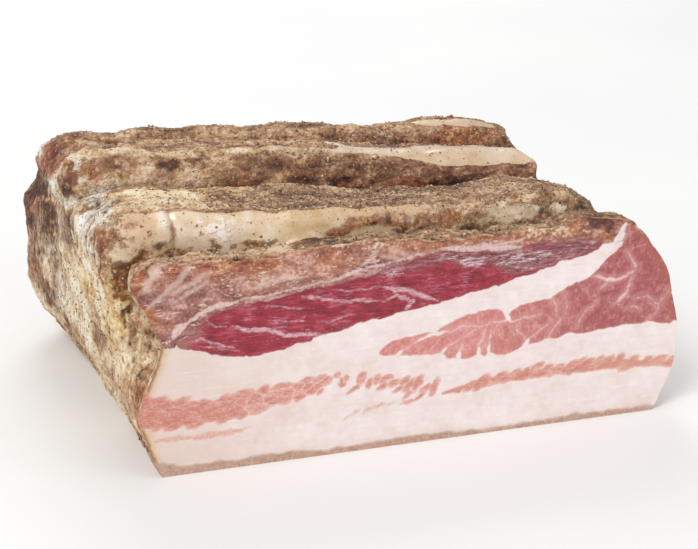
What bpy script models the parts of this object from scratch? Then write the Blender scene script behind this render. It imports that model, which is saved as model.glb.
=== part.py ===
"""A slab of brined pork belly: rind below, scored strips on the meat side, and one fresh cut across the front.

X runs along the cut, Y goes back from it and Z is up. The origin is the middle of the rind's underside.
"""

import bmesh
import bpy
import numpy as np
from mathutils import Matrix, Vector

MM = 0.001

# Driving dimensions, in millimetres. The rind's front left corner is the zero of this sketch.
RIND_WIDTH = 141.0
FACE_HEIGHT = 58.0
SLAB_DEPTH = 119.0
LEFT_ROUND = 9.0
CUT_STRIP_ROUND = 5.0
RIGHT_ROUND = 5.0
BACK_PULL_IN = 7.0
BACK_BULGE = 2.5

# How far the loft runs past the two flat cuts, which trim it afterwards.
FRONT_SPARE = 8.0
UNDER_SPARE = 4.0

# The left and right outline of the cut face: height, then X.
FACE_LEFT = [(-4, 0.5), (0, 0), (8, -4.3), (18, -7.3), (26, -4.3), (31, -1.5), (37, 0.3),
             (45, -3.2), (51, -6.5), (56, -9), (62, -8.8)]
FACE_RIGHT = [(-4, 140), (0, 141), (5, 143.6), (12, 148.2), (22, 149.3), (33, 147.2), (42, 145.3),
              (46, 143.2), (53, 138.5), (57, 134.6), (62, 129.5), (72, 128)]

# The walls behind the cut: height, then X at each of the stations.
WALL_STATIONS = (16.0, 58.0, 82.0, 106.0)
WALL_LEFT = [(-4, -1, -3, -4, -6), (0, -1, -3, -5, -7), (8, -5.5, -9, -12, -15), (18, -8, -12.5, -16, -20.5),
             (27, -9, -14, -17, -21.5), (36, -10, -15.5, -16, -20.5), (50, -12, -17, -14, -19.5),
             (54, -13, -17, -13.5, -16.5), (66, -14, -17, -13.5, -15.5), (78, -13, -16, -13, -15)]
WALL_RIGHT = [(-4, 139, 138, 137, 136), (0, 140, 139, 138, 137), (6, 143, 142, 141, 140),
              (14, 147, 146, 145, 144), (24, 147, 145, 146, 145), (34, 144, 141, 143, 142),
              (44, 138, 132, 136, 138), (50, 132, 126, 133, 136), (57, 128, 124.5, 131.5, 134),
              (64, 124, 122.5, 130, 132), (74, 122, 120, 127, 129)]
WALL_STEP = 12.0
NOTCH_LOW, NOTCH_HIGH = 24.0, 34.0
CUT_STRIP_PULL_IN = 1.5

# Each strip: Y of its front edge, its crest and its rear edge, then X with the height of crest and rear edge.
STRIPS = {
    "cut_strip": (-16.0, -12.0, 8.5, [
        (-8, 58.5, 58), (-1, 61, 60), (17, 59.4, 59.4), (48, 60.2, 59.5), (59, 60.8, 59.8),
        (93, 58.3, 59.6), (106, 58.8, 59.6), (119, 62, 60), (127, 62, 59), (150, 60, 57)]),
    "second_strip": (11.3, 14.5, 43.5, [
        (-13, 68, 66), (-5, 70.4, 67.4), (5, 70.4, 66.6), (35, 66.8, 64.4), (52, 65.8, 62.2),
        (69, 65.2, 60.6), (100, 64.6, 59.8), (116, 63.6, 59.6), (128, 59, 56)]),
    "third_strip": (46.5, 54.0, 79.0, [
        (-17, 74, 67), (-7, 76.8, 69), (8, 75.2, 69.6), (45, 73.4, 67.2),
        (77, 69.4, 63.2), (101, 66.8, 59.8), (122, 64.6, 57.6), (132, 62, 56)]),
    "back_strip": (82.0, 90.0, 119.0, [
        (-16, 72, 57), (-8, 72, 58), (4, 69.6, 57), (32, 69.2, 56),
        (63, 67.6, 55), (84, 66.4, 54), (112, 65.8, 54), (130, 62.2, 51)]),
}
BANK_RISE = 9.0
REAR_ROUND = 3.0

# Floor of the scores between the strips: X, then the height in each score.
SCORE_FLOORS = [(-20, 34, 60, 58), (-6, 35, 52, 50), (12, 38, 40, 40), (120, 40, 41, 42), (130, 42, 43, 44)]

RING_SPACING = 1.5
BACK_SHARES = np.linspace(0.97, 0.03, 30)
TOP_POINTS = 100
SIDE_POINTS = 40

VOXEL = 1.0
TRIANGLE_SHARE = 0.055

# Relief of the dried crust: size of the lumps, and how far they stand out.
SWELLS = (24.0, 3.5)
CRAGS = (6.5, 2.6)
RELIEF_MIDDLE = 0.5

CRUST_COLOUR = (0.42, 0.27, 0.16, 1)
MEAT_COLOUR = (0.78, 0.42, 0.38, 1)
RIND_COLOUR = (0.55, 0.34, 0.20, 1)


def smoothstep(value, low, high):
    share = np.clip((value - low) / (high - low), 0, 1)
    return share * share * (3 - 2 * share)


def table(value, rows, column=1):
    """The value read from rows whose first entry rises, such as heights with their X."""
    grid = np.array(rows, float)
    return np.interp(value, grid[:, 0], grid[:, column])


def wall(z, y, rows):
    """X of a side wall behind the cut, read between the stations."""
    across = [table(z, rows, 1 + i) for i in range(len(WALL_STATIONS))]
    return np.array([np.interp(y, WALL_STATIONS, column) for column in np.transpose(across)])


def back_taper(y):
    """How far both walls pull in where the slab rounds off at the back."""
    return BACK_PULL_IN * smoothstep(y, SLAB_DEPTH - 12, SLAB_DEPTH) ** 2


def left_edge(z, y):
    """X of the left wall. It follows the cut's outline at the front and swells out behind it."""
    notched = smoothstep(z, NOTCH_LOW, NOTCH_HIGH)
    behind = smoothstep(y, 2, WALL_STEP) * (1 - notched) + smoothstep(y, 9, WALL_STEP) * notched
    face = table(z, FACE_LEFT) + CUT_STRIP_PULL_IN * notched * smoothstep(y, 0, 8)
    return face * (1 - behind) + wall(z, y, WALL_LEFT) * behind + back_taper(y)


def right_edge(z, y):
    behind = smoothstep(y, 0, WALL_STEP)
    return table(z, FACE_RIGHT) * (1 - behind) + wall(z, y, WALL_RIGHT) * behind - back_taper(y)


def quarter_round(share):
    """Drop of a rounded edge, from one at its foot to zero where it meets the top."""
    return 1 - np.sqrt(1 - np.clip(1 - share, 0, 1) ** 2)


def bank(share):
    """Drop of a strip's front bank: bulging, with a clear edge where it meets the top."""
    return 0.65 * quarter_round(share) + 0.35 * np.clip(1 - share, 0, 1)


def strip_height(x, y, front, crest, rear, heights):
    """Height of one strip at x, for a y between its front and rear edge."""
    high, low = table(x, heights, 1), table(x, heights, 2)
    height = high + (low - high) * max(0, y - crest) / (rear - crest)
    height = height - BANK_RISE * bank((y - front) / (crest - front))
    return height - REAR_ROUND * quarter_round((rear - y) / REAR_ROUND)


def top_height(x, y):
    """Height of the meat side at x and y: on a strip, or on the floor of the score before the next one."""
    edges = sorted(STRIPS.values())
    for number, (front, crest, rear, heights) in enumerate(edges):
        if y < front:
            return table(x, SCORE_FLOORS, number)
        if y <= rear:
            return strip_height(x, y, front, crest, rear, heights)
    return strip_height(x, edges[-1][2], *edges[-1])


def ring(y):
    """One closed outline of the slab across its depth, from the left wall's foot round to it again."""
    left_round = LEFT_ROUND if y > 9 else CUT_STRIP_ROUND
    left_drop, right_drop = 0.7 * left_round, 0.8 * RIGHT_ROUND
    crest_left = float(top_height(np.array([-8.0]), y)[0]) - left_drop
    crest_right = float(top_height(np.array([126.0]), y)[0]) - right_drop
    rise_left = np.linspace(-UNDER_SPARE, crest_left, SIDE_POINTS)
    rise_right = np.linspace(-UNDER_SPARE, crest_right, SIDE_POINTS)
    x_left = left_edge(rise_left, y)
    x_right = right_edge(rise_right, y)

    ends = (1 - np.cos(np.linspace(0, np.pi, TOP_POINTS))) / 2
    across = x_left[-1] + (x_right[-1] - x_left[-1]) * ends[1:-1]
    top = top_height(across, y)
    top = top - left_drop * quarter_round((across - x_left[-1]) / left_round)
    top = top - right_drop * quarter_round((x_right[-1] - across) / RIGHT_ROUND)

    floor_x = np.linspace(x_right[0], x_left[0], TOP_POINTS)[1:-1]
    outline = [(x, z) for x, z in zip(x_left, rise_left)]
    outline += [(x, z) for x, z in zip(across, top)]
    outline += [(x, z) for x, z in zip(x_right[::-1], rise_right[::-1])]
    outline += [(x, -UNDER_SPARE) for x in floor_x]
    return [Vector((x, y, z)) * MM for x, z in outline]


def back_rings():
    """Outlines that close in over the back, which stands out a little towards its middle."""
    edge = ring(SLAB_DEPTH)
    middle = sum(edge, Vector()) / len(edge)
    rings = []
    for share in BACK_SHARES:
        bulge = Vector((0, BACK_BULGE * MM * (1 - share**2), 0))
        rings.append([middle.lerp(point, share) + bulge for point in edge])
    return rings


def loft(name, rings):
    """A closed mesh through rings of equal length, capped at both ends."""
    mesh = bmesh.new()
    rows = [[mesh.verts.new(point) for point in points] for points in rings]
    count = len(rows[0])
    for near, far in zip(rows, rows[1:]):
        for i in range(count):
            j = (i + 1) % count
            mesh.faces.new((near[i], near[j], far[j], far[i]))
    mesh.faces.new(list(reversed(rows[0])))
    mesh.faces.new(rows[-1])
    bmesh.ops.recalc_face_normals(mesh, faces=mesh.faces[:])
    data = bpy.data.meshes.new(name)
    mesh.to_mesh(data)
    mesh.free()
    return bpy.data.objects.new(name, data)


def box(name, low, high):
    """A box between two corners, in millimetres of the sketch."""
    mesh = bmesh.new()
    bmesh.ops.create_cube(mesh, size=1)
    low, high = Vector(low) * MM, Vector(high) * MM
    size = high - low
    mesh.transform(Matrix.Translation((low + high) / 2) @ Matrix.Diagonal((*size, 1)))
    data = bpy.data.meshes.new(name)
    mesh.to_mesh(data)
    mesh.free()
    return bpy.data.objects.new(name, data)


def material(name, colour, roughness):
    made = bpy.data.materials.new(name)
    made.use_nodes = True
    shader = made.node_tree.nodes["Principled BSDF"]
    shader.inputs["Base Color"].default_value = colour
    shader.inputs["Roughness"].default_value = roughness
    return made


def add_relief(slab, name, size, strength):
    """Lumps of about the given size, pushed along the surface's normal."""
    texture = bpy.data.textures.new(name, "CLOUDS")
    texture.noise_scale = size * MM
    texture.noise_depth = 1
    push = slab.modifiers.new(name, "DISPLACE")
    push.texture = texture
    push.texture_coords = "LOCAL"
    push.strength = strength * MM
    push.mid_level = RELIEF_MIDDLE


def add_cut(slab, cutter):
    cut = slab.modifiers.new(cutter.name, "BOOLEAN")
    cut.object = cutter
    cut.operation = "DIFFERENCE"
    cut.solver = "EXACT"
    cut.material_mode = "TRANSFER"


def stations():
    """Y of each ring, closer together at the scores so that their walls stay steep."""
    edges = sorted(y for front, _, rear, _ in STRIPS.values() for y in (front, rear))
    span = np.arange(-FRONT_SPARE, SLAB_DEPTH, RING_SPACING)
    near_edges = [edge + step for edge in edges for step in (-0.6, -0.2, 0.0, 0.3, 0.7, 1.2, 2.0)]
    wanted = sorted({round(float(y), 2) for y in [*span, *near_edges, SLAB_DEPTH]})
    return [y for y in wanted if -FRONT_SPARE <= y <= SLAB_DEPTH]


def main():
    for old in list(bpy.data.objects):
        bpy.data.objects.remove(old)
    pork = bpy.data.collections.new("brined_pork")
    cutters = bpy.data.collections.new("cutters")
    for group in (pork, cutters):
        bpy.context.scene.collection.children.link(group)

    slab = loft("brined_pork", [ring(y) for y in stations()] + back_rings())
    pork.objects.link(slab)
    slab.data.materials.append(material("spiced_crust", CRUST_COLOUR, 0.8))

    add_relief(slab, "swells", *SWELLS)
    add_relief(slab, "crags", *CRAGS)
    even = slab.modifiers.new("even_mesh", "REMESH")
    even.mode = "VOXEL"
    even.voxel_size = VOXEL * MM
    soften = slab.modifiers.new("soften", "SMOOTH")
    soften.factor = 0.5
    soften.iterations = 2
    fewer = slab.modifiers.new("fewer_faces", "DECIMATE")
    fewer.ratio = TRIANGLE_SHARE

    reach = 60
    front = box("front_cut", (-reach, -reach, -reach), (RIND_WIDTH + reach, 0, 2 * FACE_HEIGHT))
    front.data.materials.append(material("cut_meat", MEAT_COLOUR, 0.35))
    under = box("rind_plane", (-reach, -reach, -reach), (RIND_WIDTH + reach, SLAB_DEPTH + reach, 0))
    under.data.materials.append(material("rind", RIND_COLOUR, 0.55))
    for cutter in (front, under):
        cutters.objects.link(cutter)
        cutter.hide_render = True
        cutter.display_type = "WIRE"
        add_cut(slab, cutter)

    # The sketch's zero moves so that the origin is the middle of the rind's underside.
    bpy.context.view_layer.update()
    shape = slab.evaluated_get(bpy.context.evaluated_depsgraph_get())
    corners = np.array([v.co for v in shape.data.vertices])
    low, high = corners.min(0), corners.max(0)
    shift = Vector((-(low[0] + high[0]) / 2, -(low[1] + high[1]) / 2, -low[2]))
    for piece in (slab, front, under):
        piece.location = shift


main()
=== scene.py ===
"""Looks of the brined pork belly: the fresh cut, the spiced crust, the rind and the ground pepper on it.

Lengths are millimetres in the slab's own sketch: zero is the rind's front left corner, X runs along the
cut, Y back from it and Z up. place() turns them into metres in the frame.
"""

import math

import bmesh
import bpy
import numpy as np
from mathutils import Matrix, Vector
from mathutils.geometry import delaunay_2d_cdt


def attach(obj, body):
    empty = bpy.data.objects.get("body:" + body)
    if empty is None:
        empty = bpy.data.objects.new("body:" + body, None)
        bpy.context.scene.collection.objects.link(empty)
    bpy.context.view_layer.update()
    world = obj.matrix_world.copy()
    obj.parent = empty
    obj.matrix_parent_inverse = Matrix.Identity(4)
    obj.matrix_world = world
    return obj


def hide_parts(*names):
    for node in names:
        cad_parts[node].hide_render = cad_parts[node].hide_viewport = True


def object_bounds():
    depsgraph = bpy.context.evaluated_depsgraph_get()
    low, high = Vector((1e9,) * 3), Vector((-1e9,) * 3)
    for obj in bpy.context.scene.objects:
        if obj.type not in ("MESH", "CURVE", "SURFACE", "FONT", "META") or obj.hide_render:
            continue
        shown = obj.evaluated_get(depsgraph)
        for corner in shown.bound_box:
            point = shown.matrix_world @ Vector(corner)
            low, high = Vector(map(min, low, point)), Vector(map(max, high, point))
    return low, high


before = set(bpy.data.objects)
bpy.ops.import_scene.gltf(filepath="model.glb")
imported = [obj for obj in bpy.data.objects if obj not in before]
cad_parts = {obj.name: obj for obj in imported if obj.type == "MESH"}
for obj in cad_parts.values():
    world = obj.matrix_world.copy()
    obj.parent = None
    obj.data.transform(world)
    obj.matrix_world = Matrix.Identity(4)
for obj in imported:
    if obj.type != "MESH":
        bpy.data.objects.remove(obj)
cad_low, cad_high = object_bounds()

MM = 0.001
NODE = "brined_pork"

# Where the sketch's zero lies in the frame, from the left bulge and the cut plane.
LEFT_BULGE = 21.23
ZERO = np.array([cad_low[0] + LEFT_BULGE * MM, cad_low[1], 0.0])

# The photograph's view: focal length in pixels, and the camera's place and angles in the sketch.
PHOTO_SIZE = (698, 549)
FOCAL_PIXELS = 1750
CAMERA_PLACE = (-77.72, -411.46, 213.77)
CAMERA_YAW, CAMERA_PITCH = math.radians(17.32), math.radians(20.6)
SENSOR_WIDTH = 36.0

# Spacing of the fine meshes.
CRUST_SPACING = 0.6
FACE_SPACING = 0.45
SPARE = 8.0
SEED = 11

# Loose grains: how flat they are, and the least height of their corners above the ground.
FLATNESS = 0.6
LEAST_HEIGHT = 0.05

# How often the points move towards their neighbours: everywhere, on fat and walls, and on the right side.
EVEN_PASSES, SMOOTH_PASSES, FLANK_PASSES = 7, 30, 160

# Lights: place, size and power, all aimed a little above the floor.
LIGHTS = {"key": ((-0.7, -0.65, 1.0), 0.6, 8.4), "fill": ((0.8, -0.7, 0.5), 0.8, 1.8),
          "back": ((0.1, 0.9, 0.9), 0.7, 4.5)}
AIM = Vector((0, 0, 0.03))
SKY_STRENGTH = 0.56
FLOOR_SIZE = 3.0

# Layout of the slab, as in the solid.
GROOVES = (9.9, 45.0, 80.5)
RIND_THICKNESS = 3.2

# Regions of the cut face: X and height of each outline's corners.
DARK_LEAN = [
    (3.0, 38.2), (8.9, 40.5), (12.4, 43.7), (16.7, 45.5), (23.7, 46.9), (33.9, 47.6), (44, 49.3),
    (55.3, 50.3),
    (62.5, 52.3), (69.8, 54.3), (77.4, 54.9), (86.8, 54.7), (96.2, 52.6), (104.9, 52.9), (98.2, 53.8),
    (104.8, 55.4),
    (113.7, 54), (122.7, 54.2), (124.4, 53.4), (123, 51), (115.4, 49.3), (106.6, 47.1), (97.9, 44.6),
    (89.2, 43),
    (76.3, 40.7), (67.7, 39), (55.1, 37.7), (42.5, 34.7), (31, 32.1), (24, 31.3), (16.6, 32.5), (5.3, 36.2)]
PURPLE_LEAN = [
    (56, 50.8), (64.8, 53), (77.4, 55), (91.8, 54), (101.9, 54.4), (110.7, 55.1), (122.6, 54.6), (124.5, 52),
    (115.4, 49.4), (104, 46.6), (97, 46.6), (91, 49.6), (77.5, 52.1), (66.2, 51.2)]
RIGHT_LEAN = [
    (58.2, 27.8), (61.6, 30.3), (65.8, 31.8), (70.2, 31.6), (72.1, 32.9), (74.7, 31.9), (79.3, 34.5),
    (85, 36.2),
    (90.8, 37.1), (94.6, 36.4), (96, 34.2), (98.2, 36.3), (105.5, 38.1), (109, 37.9), (109.7, 38.8),
    (114.3, 41.8),
    (120.6, 43.2), (124.6, 47.2), (129.2, 51.1), (131, 54), (131.9, 57), (133, 64), (156, 64), (156, 26.2),
    (147.4, 26.8),
    (145.3, 26), (138.9, 27.9), (134.6, 27), (124.8, 27.2), (121.8, 26.3), (114.4, 27.2), (111.5, 25.5),
    (108.4, 26.3),
    (104, 24.9), (101.3, 25.3), (97.2, 22.6), (94.8, 22.5), (91.2, 24.8), (89.8, 22.7), (87.9, 24.6),
    (84.5, 22.9),
    (82.1, 23.8), (79.5, 23.3), (77.8, 25.8), (73.1, 25.3), (67.3, 26), (63.9, 27), (61, 26.8)]
DARK_TOP = [(3, 37.6), (9, 40), (12.4, 42.8), (16.7, 44.6), (24, 46), (34, 46.8), (55, 49.6), (70, 53.4),
            (96, 52.4), (125, 52.4)]
SKIN_TOP = [(-2, 4.6), (5, 3.1), (16, 2.7), (31, 2.8), (48, 1.9), (71, 2.6), (95, 1.5), (119, 2.3),
            (141, 1.8)]

# White and pale strokes on the cut face: half width in the middle of each, then its points.
FASCIA = [
    (1.2, [(3.4, 38.8), (4.2, 41.3), (6.6, 43.4)]),
    (0.8, [(4.4, 41.6), (9, 44.5), (14.3, 46.6), (21, 47.8)]),
    (0.4, [(12, 46), (20, 47.8), (33.1, 48.8), (46.7, 50.7), (57.8, 52.8), (70.3, 55), (80.2, 55.3)]),
    (0.6, [(46, 50.8), (50.9, 51.7), (56, 52.6)]),
    (1.0, [(76, 55.6), (84, 55.3), (90, 55), (96.1, 54.3), (100, 54)]),
    (0.5, [(90, 55.4), (97, 56), (103, 57)]),
]
VEINS = [
    (0.6, [(120.3, 43.6), (125.5, 41.8), (127, 41.3), (131.2, 42), (134.8, 43.7)]),
    (0.9, [(124.6, 41.6), (128.6, 41.6)]),
    (0.45, [(134.8, 43.9), (133.6, 46.2), (131.2, 49.4)]),
    (0.5, [(126.6, 41.4), (123.4, 39.2)]),
    (0.45, [(133.6, 42.9), (132.9, 39.4), (131.6, 36.6), (128.2, 33.6)]),
    (0.6, [(132.4, 37.6), (129.4, 35.2)]),
    (0.35, [(134.1, 35.1), (138.4, 35.6), (142, 32.4), (141.5, 30.3), (138.3, 27.4)]),
    (0.3, [(142, 32.4), (144.3, 34.8), (145.2, 37)]),
    (0.3, [(136.2, 31.5), (134.2, 33), (132.4, 32.3)]),
    (0.4, [(109.2, 38), (110.4, 35.5), (110.9, 32.4)]),
    (0.35, [(110.9, 32.4), (112.1, 31.4), (109.8, 29), (108.4, 26)]),
    (0.5, [(95.8, 34.6), (97.4, 32.4), (102.2, 33.2), (106, 34.4)]),
    (0.45, [(74.5, 31.8), (79.9, 31.4), (83.6, 33.2), (88, 32.2), (91.5, 33), (96.6, 33)]),
    (0.35, [(63.5, 26.6), (65.6, 28), (70.7, 30), (74.6, 31.8)]),
    (0.4, [(77.7, 25.6), (79.4, 27.5), (85.2, 30.6), (90.4, 32.8)]),
    (0.5, [(82.1, 23.4), (82.7, 26.1), (84.2, 28)]),
    (0.5, [(87.7, 23.5), (87.9, 26.7), (90.4, 32.3)]),
    (0.4, [(91.2, 24.2), (90.9, 27.5), (92.2, 32.3)]),
    (0.3, [(92.3, 28.6), (93.9, 32.7)]),
    (0.35, [(100.1, 23.6), (103, 27), (109.4, 31.2)]),
    (0.25, [(98.4, 30.9), (102.2, 26.5)]),
    (0.25, [(113, 32), (114, 36), (112.8, 39.4)]),
    (0.25, [(117, 28.6), (119, 32.6), (123.2, 35.6)]),
]
MARBLING = [
    (0.8, [(18.7, 40.7), (23, 39.3), (28.3, 38.5), (32.9, 36.8), (37.9, 35.9), (42.4, 35)]),
    (0.4, [(11.6, 43.5), (14.7, 41.2), (18.2, 40.9)]),
    (0.45, [(5.2, 37.9), (10.1, 37.9), (14.8, 36.1), (20, 34.3)]),
    (0.3, [(9, 36.4), (15.6, 34.9), (21, 33.4)]),
    (0.35, [(27, 46.2), (33, 44.6), (41, 42.8)]),
    (0.6, [(36.6, 47), (42.6, 45.6), (49.5, 44.1), (60, 43.4)]),
    (0.35, [(45, 47.9), (52, 46.8), (60.3, 47.4)]),
    (0.85, [(59.6, 47.3), (65.4, 45.9), (70.5, 43.7), (75.6, 41.2)]),
    (0.5, [(63.1, 46.2), (64.3, 44.4), (60.2, 42.7)]),
    (0.7, [(64.2, 44.2), (68.5, 42.4), (67.7, 40.8), (66.2, 39)]),
    (0.35, [(41.5, 39.4), (47, 38.9), (52, 40)]),
    (0.3, [(37.4, 37.7), (42.5, 35.5), (46, 34.8)]),
    (0.4, [(98.6, 50), (104, 50.6), (110, 51.6)]),
    (0.35, [(96, 48.4), (102.2, 47.6), (111.4, 48.9), (118, 50.6)]),
    (0.4, [(28, 41.6), (34, 40.2), (39, 39.6)]),
]
FAT_NECK = (1.2, [(118, 47.6), (124.5, 49.4), (127.6, 51.8), (129.2, 54.4), (130.5, 58)])
PALE_LINES = [
    (0.5, [(-4.3, 52.5), (-3.2, 54.5), (-0.6, 58), (1.4, 59.6)]),
    (0.55, [(-2.8, 48.6), (0.6, 51.2), (3.8, 53.4), (6.5, 56.6), (8.6, 60)]),
    (0.4, [(4.1, 52.2), (9.5, 54.2), (13.6, 56.7)]),
    (0.3, [(5, 50.2), (8, 51.5), (12.6, 54)]),
    (0.5, [(25.5, 50.6), (29.4, 52)]),
    (0.6, [(29, 52), (33.4, 52.6), (38, 52.2)]),
    (0.5, [(54.6, 53.6), (58.8, 57.6)]),
    (0.35, [(60, 56), (64, 54.6)]),
    (0.35, [(62, 57), (67, 55.6)]),
]

# Lobes of the thin lean streaks: middle, half length, half width and lean in degrees from level.
MIDDLE_LOBES = [
    (52.3, 18.5, 2.4, 0.7, 25), (54.4, 21.2, 2.3, 1.3, 60), (56.6, 19.4, 2.0, 1.1, 55),
    (58.5, 20.4, 1.9, 1.2, 40),
    (61.2, 20.2, 2.6, 1.3, 15), (60.2, 18.2, 2.0, 0.9, 25), (63.7, 18.7, 2.2, 1.0, 30),
    (66.5, 19.2, 2.1, 1.0, 25),
    (65, 16.9, 2.0, 0.8, 30), (68, 17.4, 2.7, 1.3, 45), (70.4, 17.8, 2.8, 1.3, 58),
    (72.6, 15.5, 2.8, 1.1, 42),
    (75.2, 15.9, 3.2, 1.1, 66), (71, 13.7, 2.3, 0.9, 28), (68, 12.4, 2.4, 0.7, 10),
    (67.4, 14.7, 2.1, 0.8, 38)]
FAINT_LOBES = [(50, 10.5, 1.8, 0.6, 35), (52.4, 11.7, 1.5, 0.5, 25), (56.3, 11.4, 2.0, 0.7, 30),
               (59.2, 12.4, 2.0, 0.6, 25), (62.4, 12.7, 1.6, 0.5, 12)]
LEFT_STREAK = [(-9, 13.9, 25.4), (-4, 14, 24.2), (3, 13.9, 22.2), (10, 13.5, 20.8), (17, 13.8, 21.2),
               (26, 15.3, 22),
               (38, 17.4, 23.4), (45, 19.2, 24), (50, 20.6, 22.6)]
RIGHT_STREAK = [(80, 13.4, 15), (93, 14.6, 17.6), (107, 15.2, 19.2), (119, 15.2, 18.7), (130, 15, 18.3),
                (139, 14, 16.6), (150, 12.8, 14.4)]
RIGHT_STRAND = (1.5, [(77.6, 13.7), (85, 14.8), (96, 15.7), (110, 16), (124, 16), (136, 15), (150, 13.6)])
LEFT_STRAND = (0.9, [(-3, 10.7), (4, 10.7), (10, 10.4), (16, 10.4), (23, 11.2)])

# The surfaces that patches lie on, each with the two axes that place them there.
SURFACES = {"left": (1, 2), "notch": (0, 2), "top": (0, 1), "bank_2": (0, 2), "bank_3": (0, 2),
            "bank_4": (0, 2), "face": (0, 2)}

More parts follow.
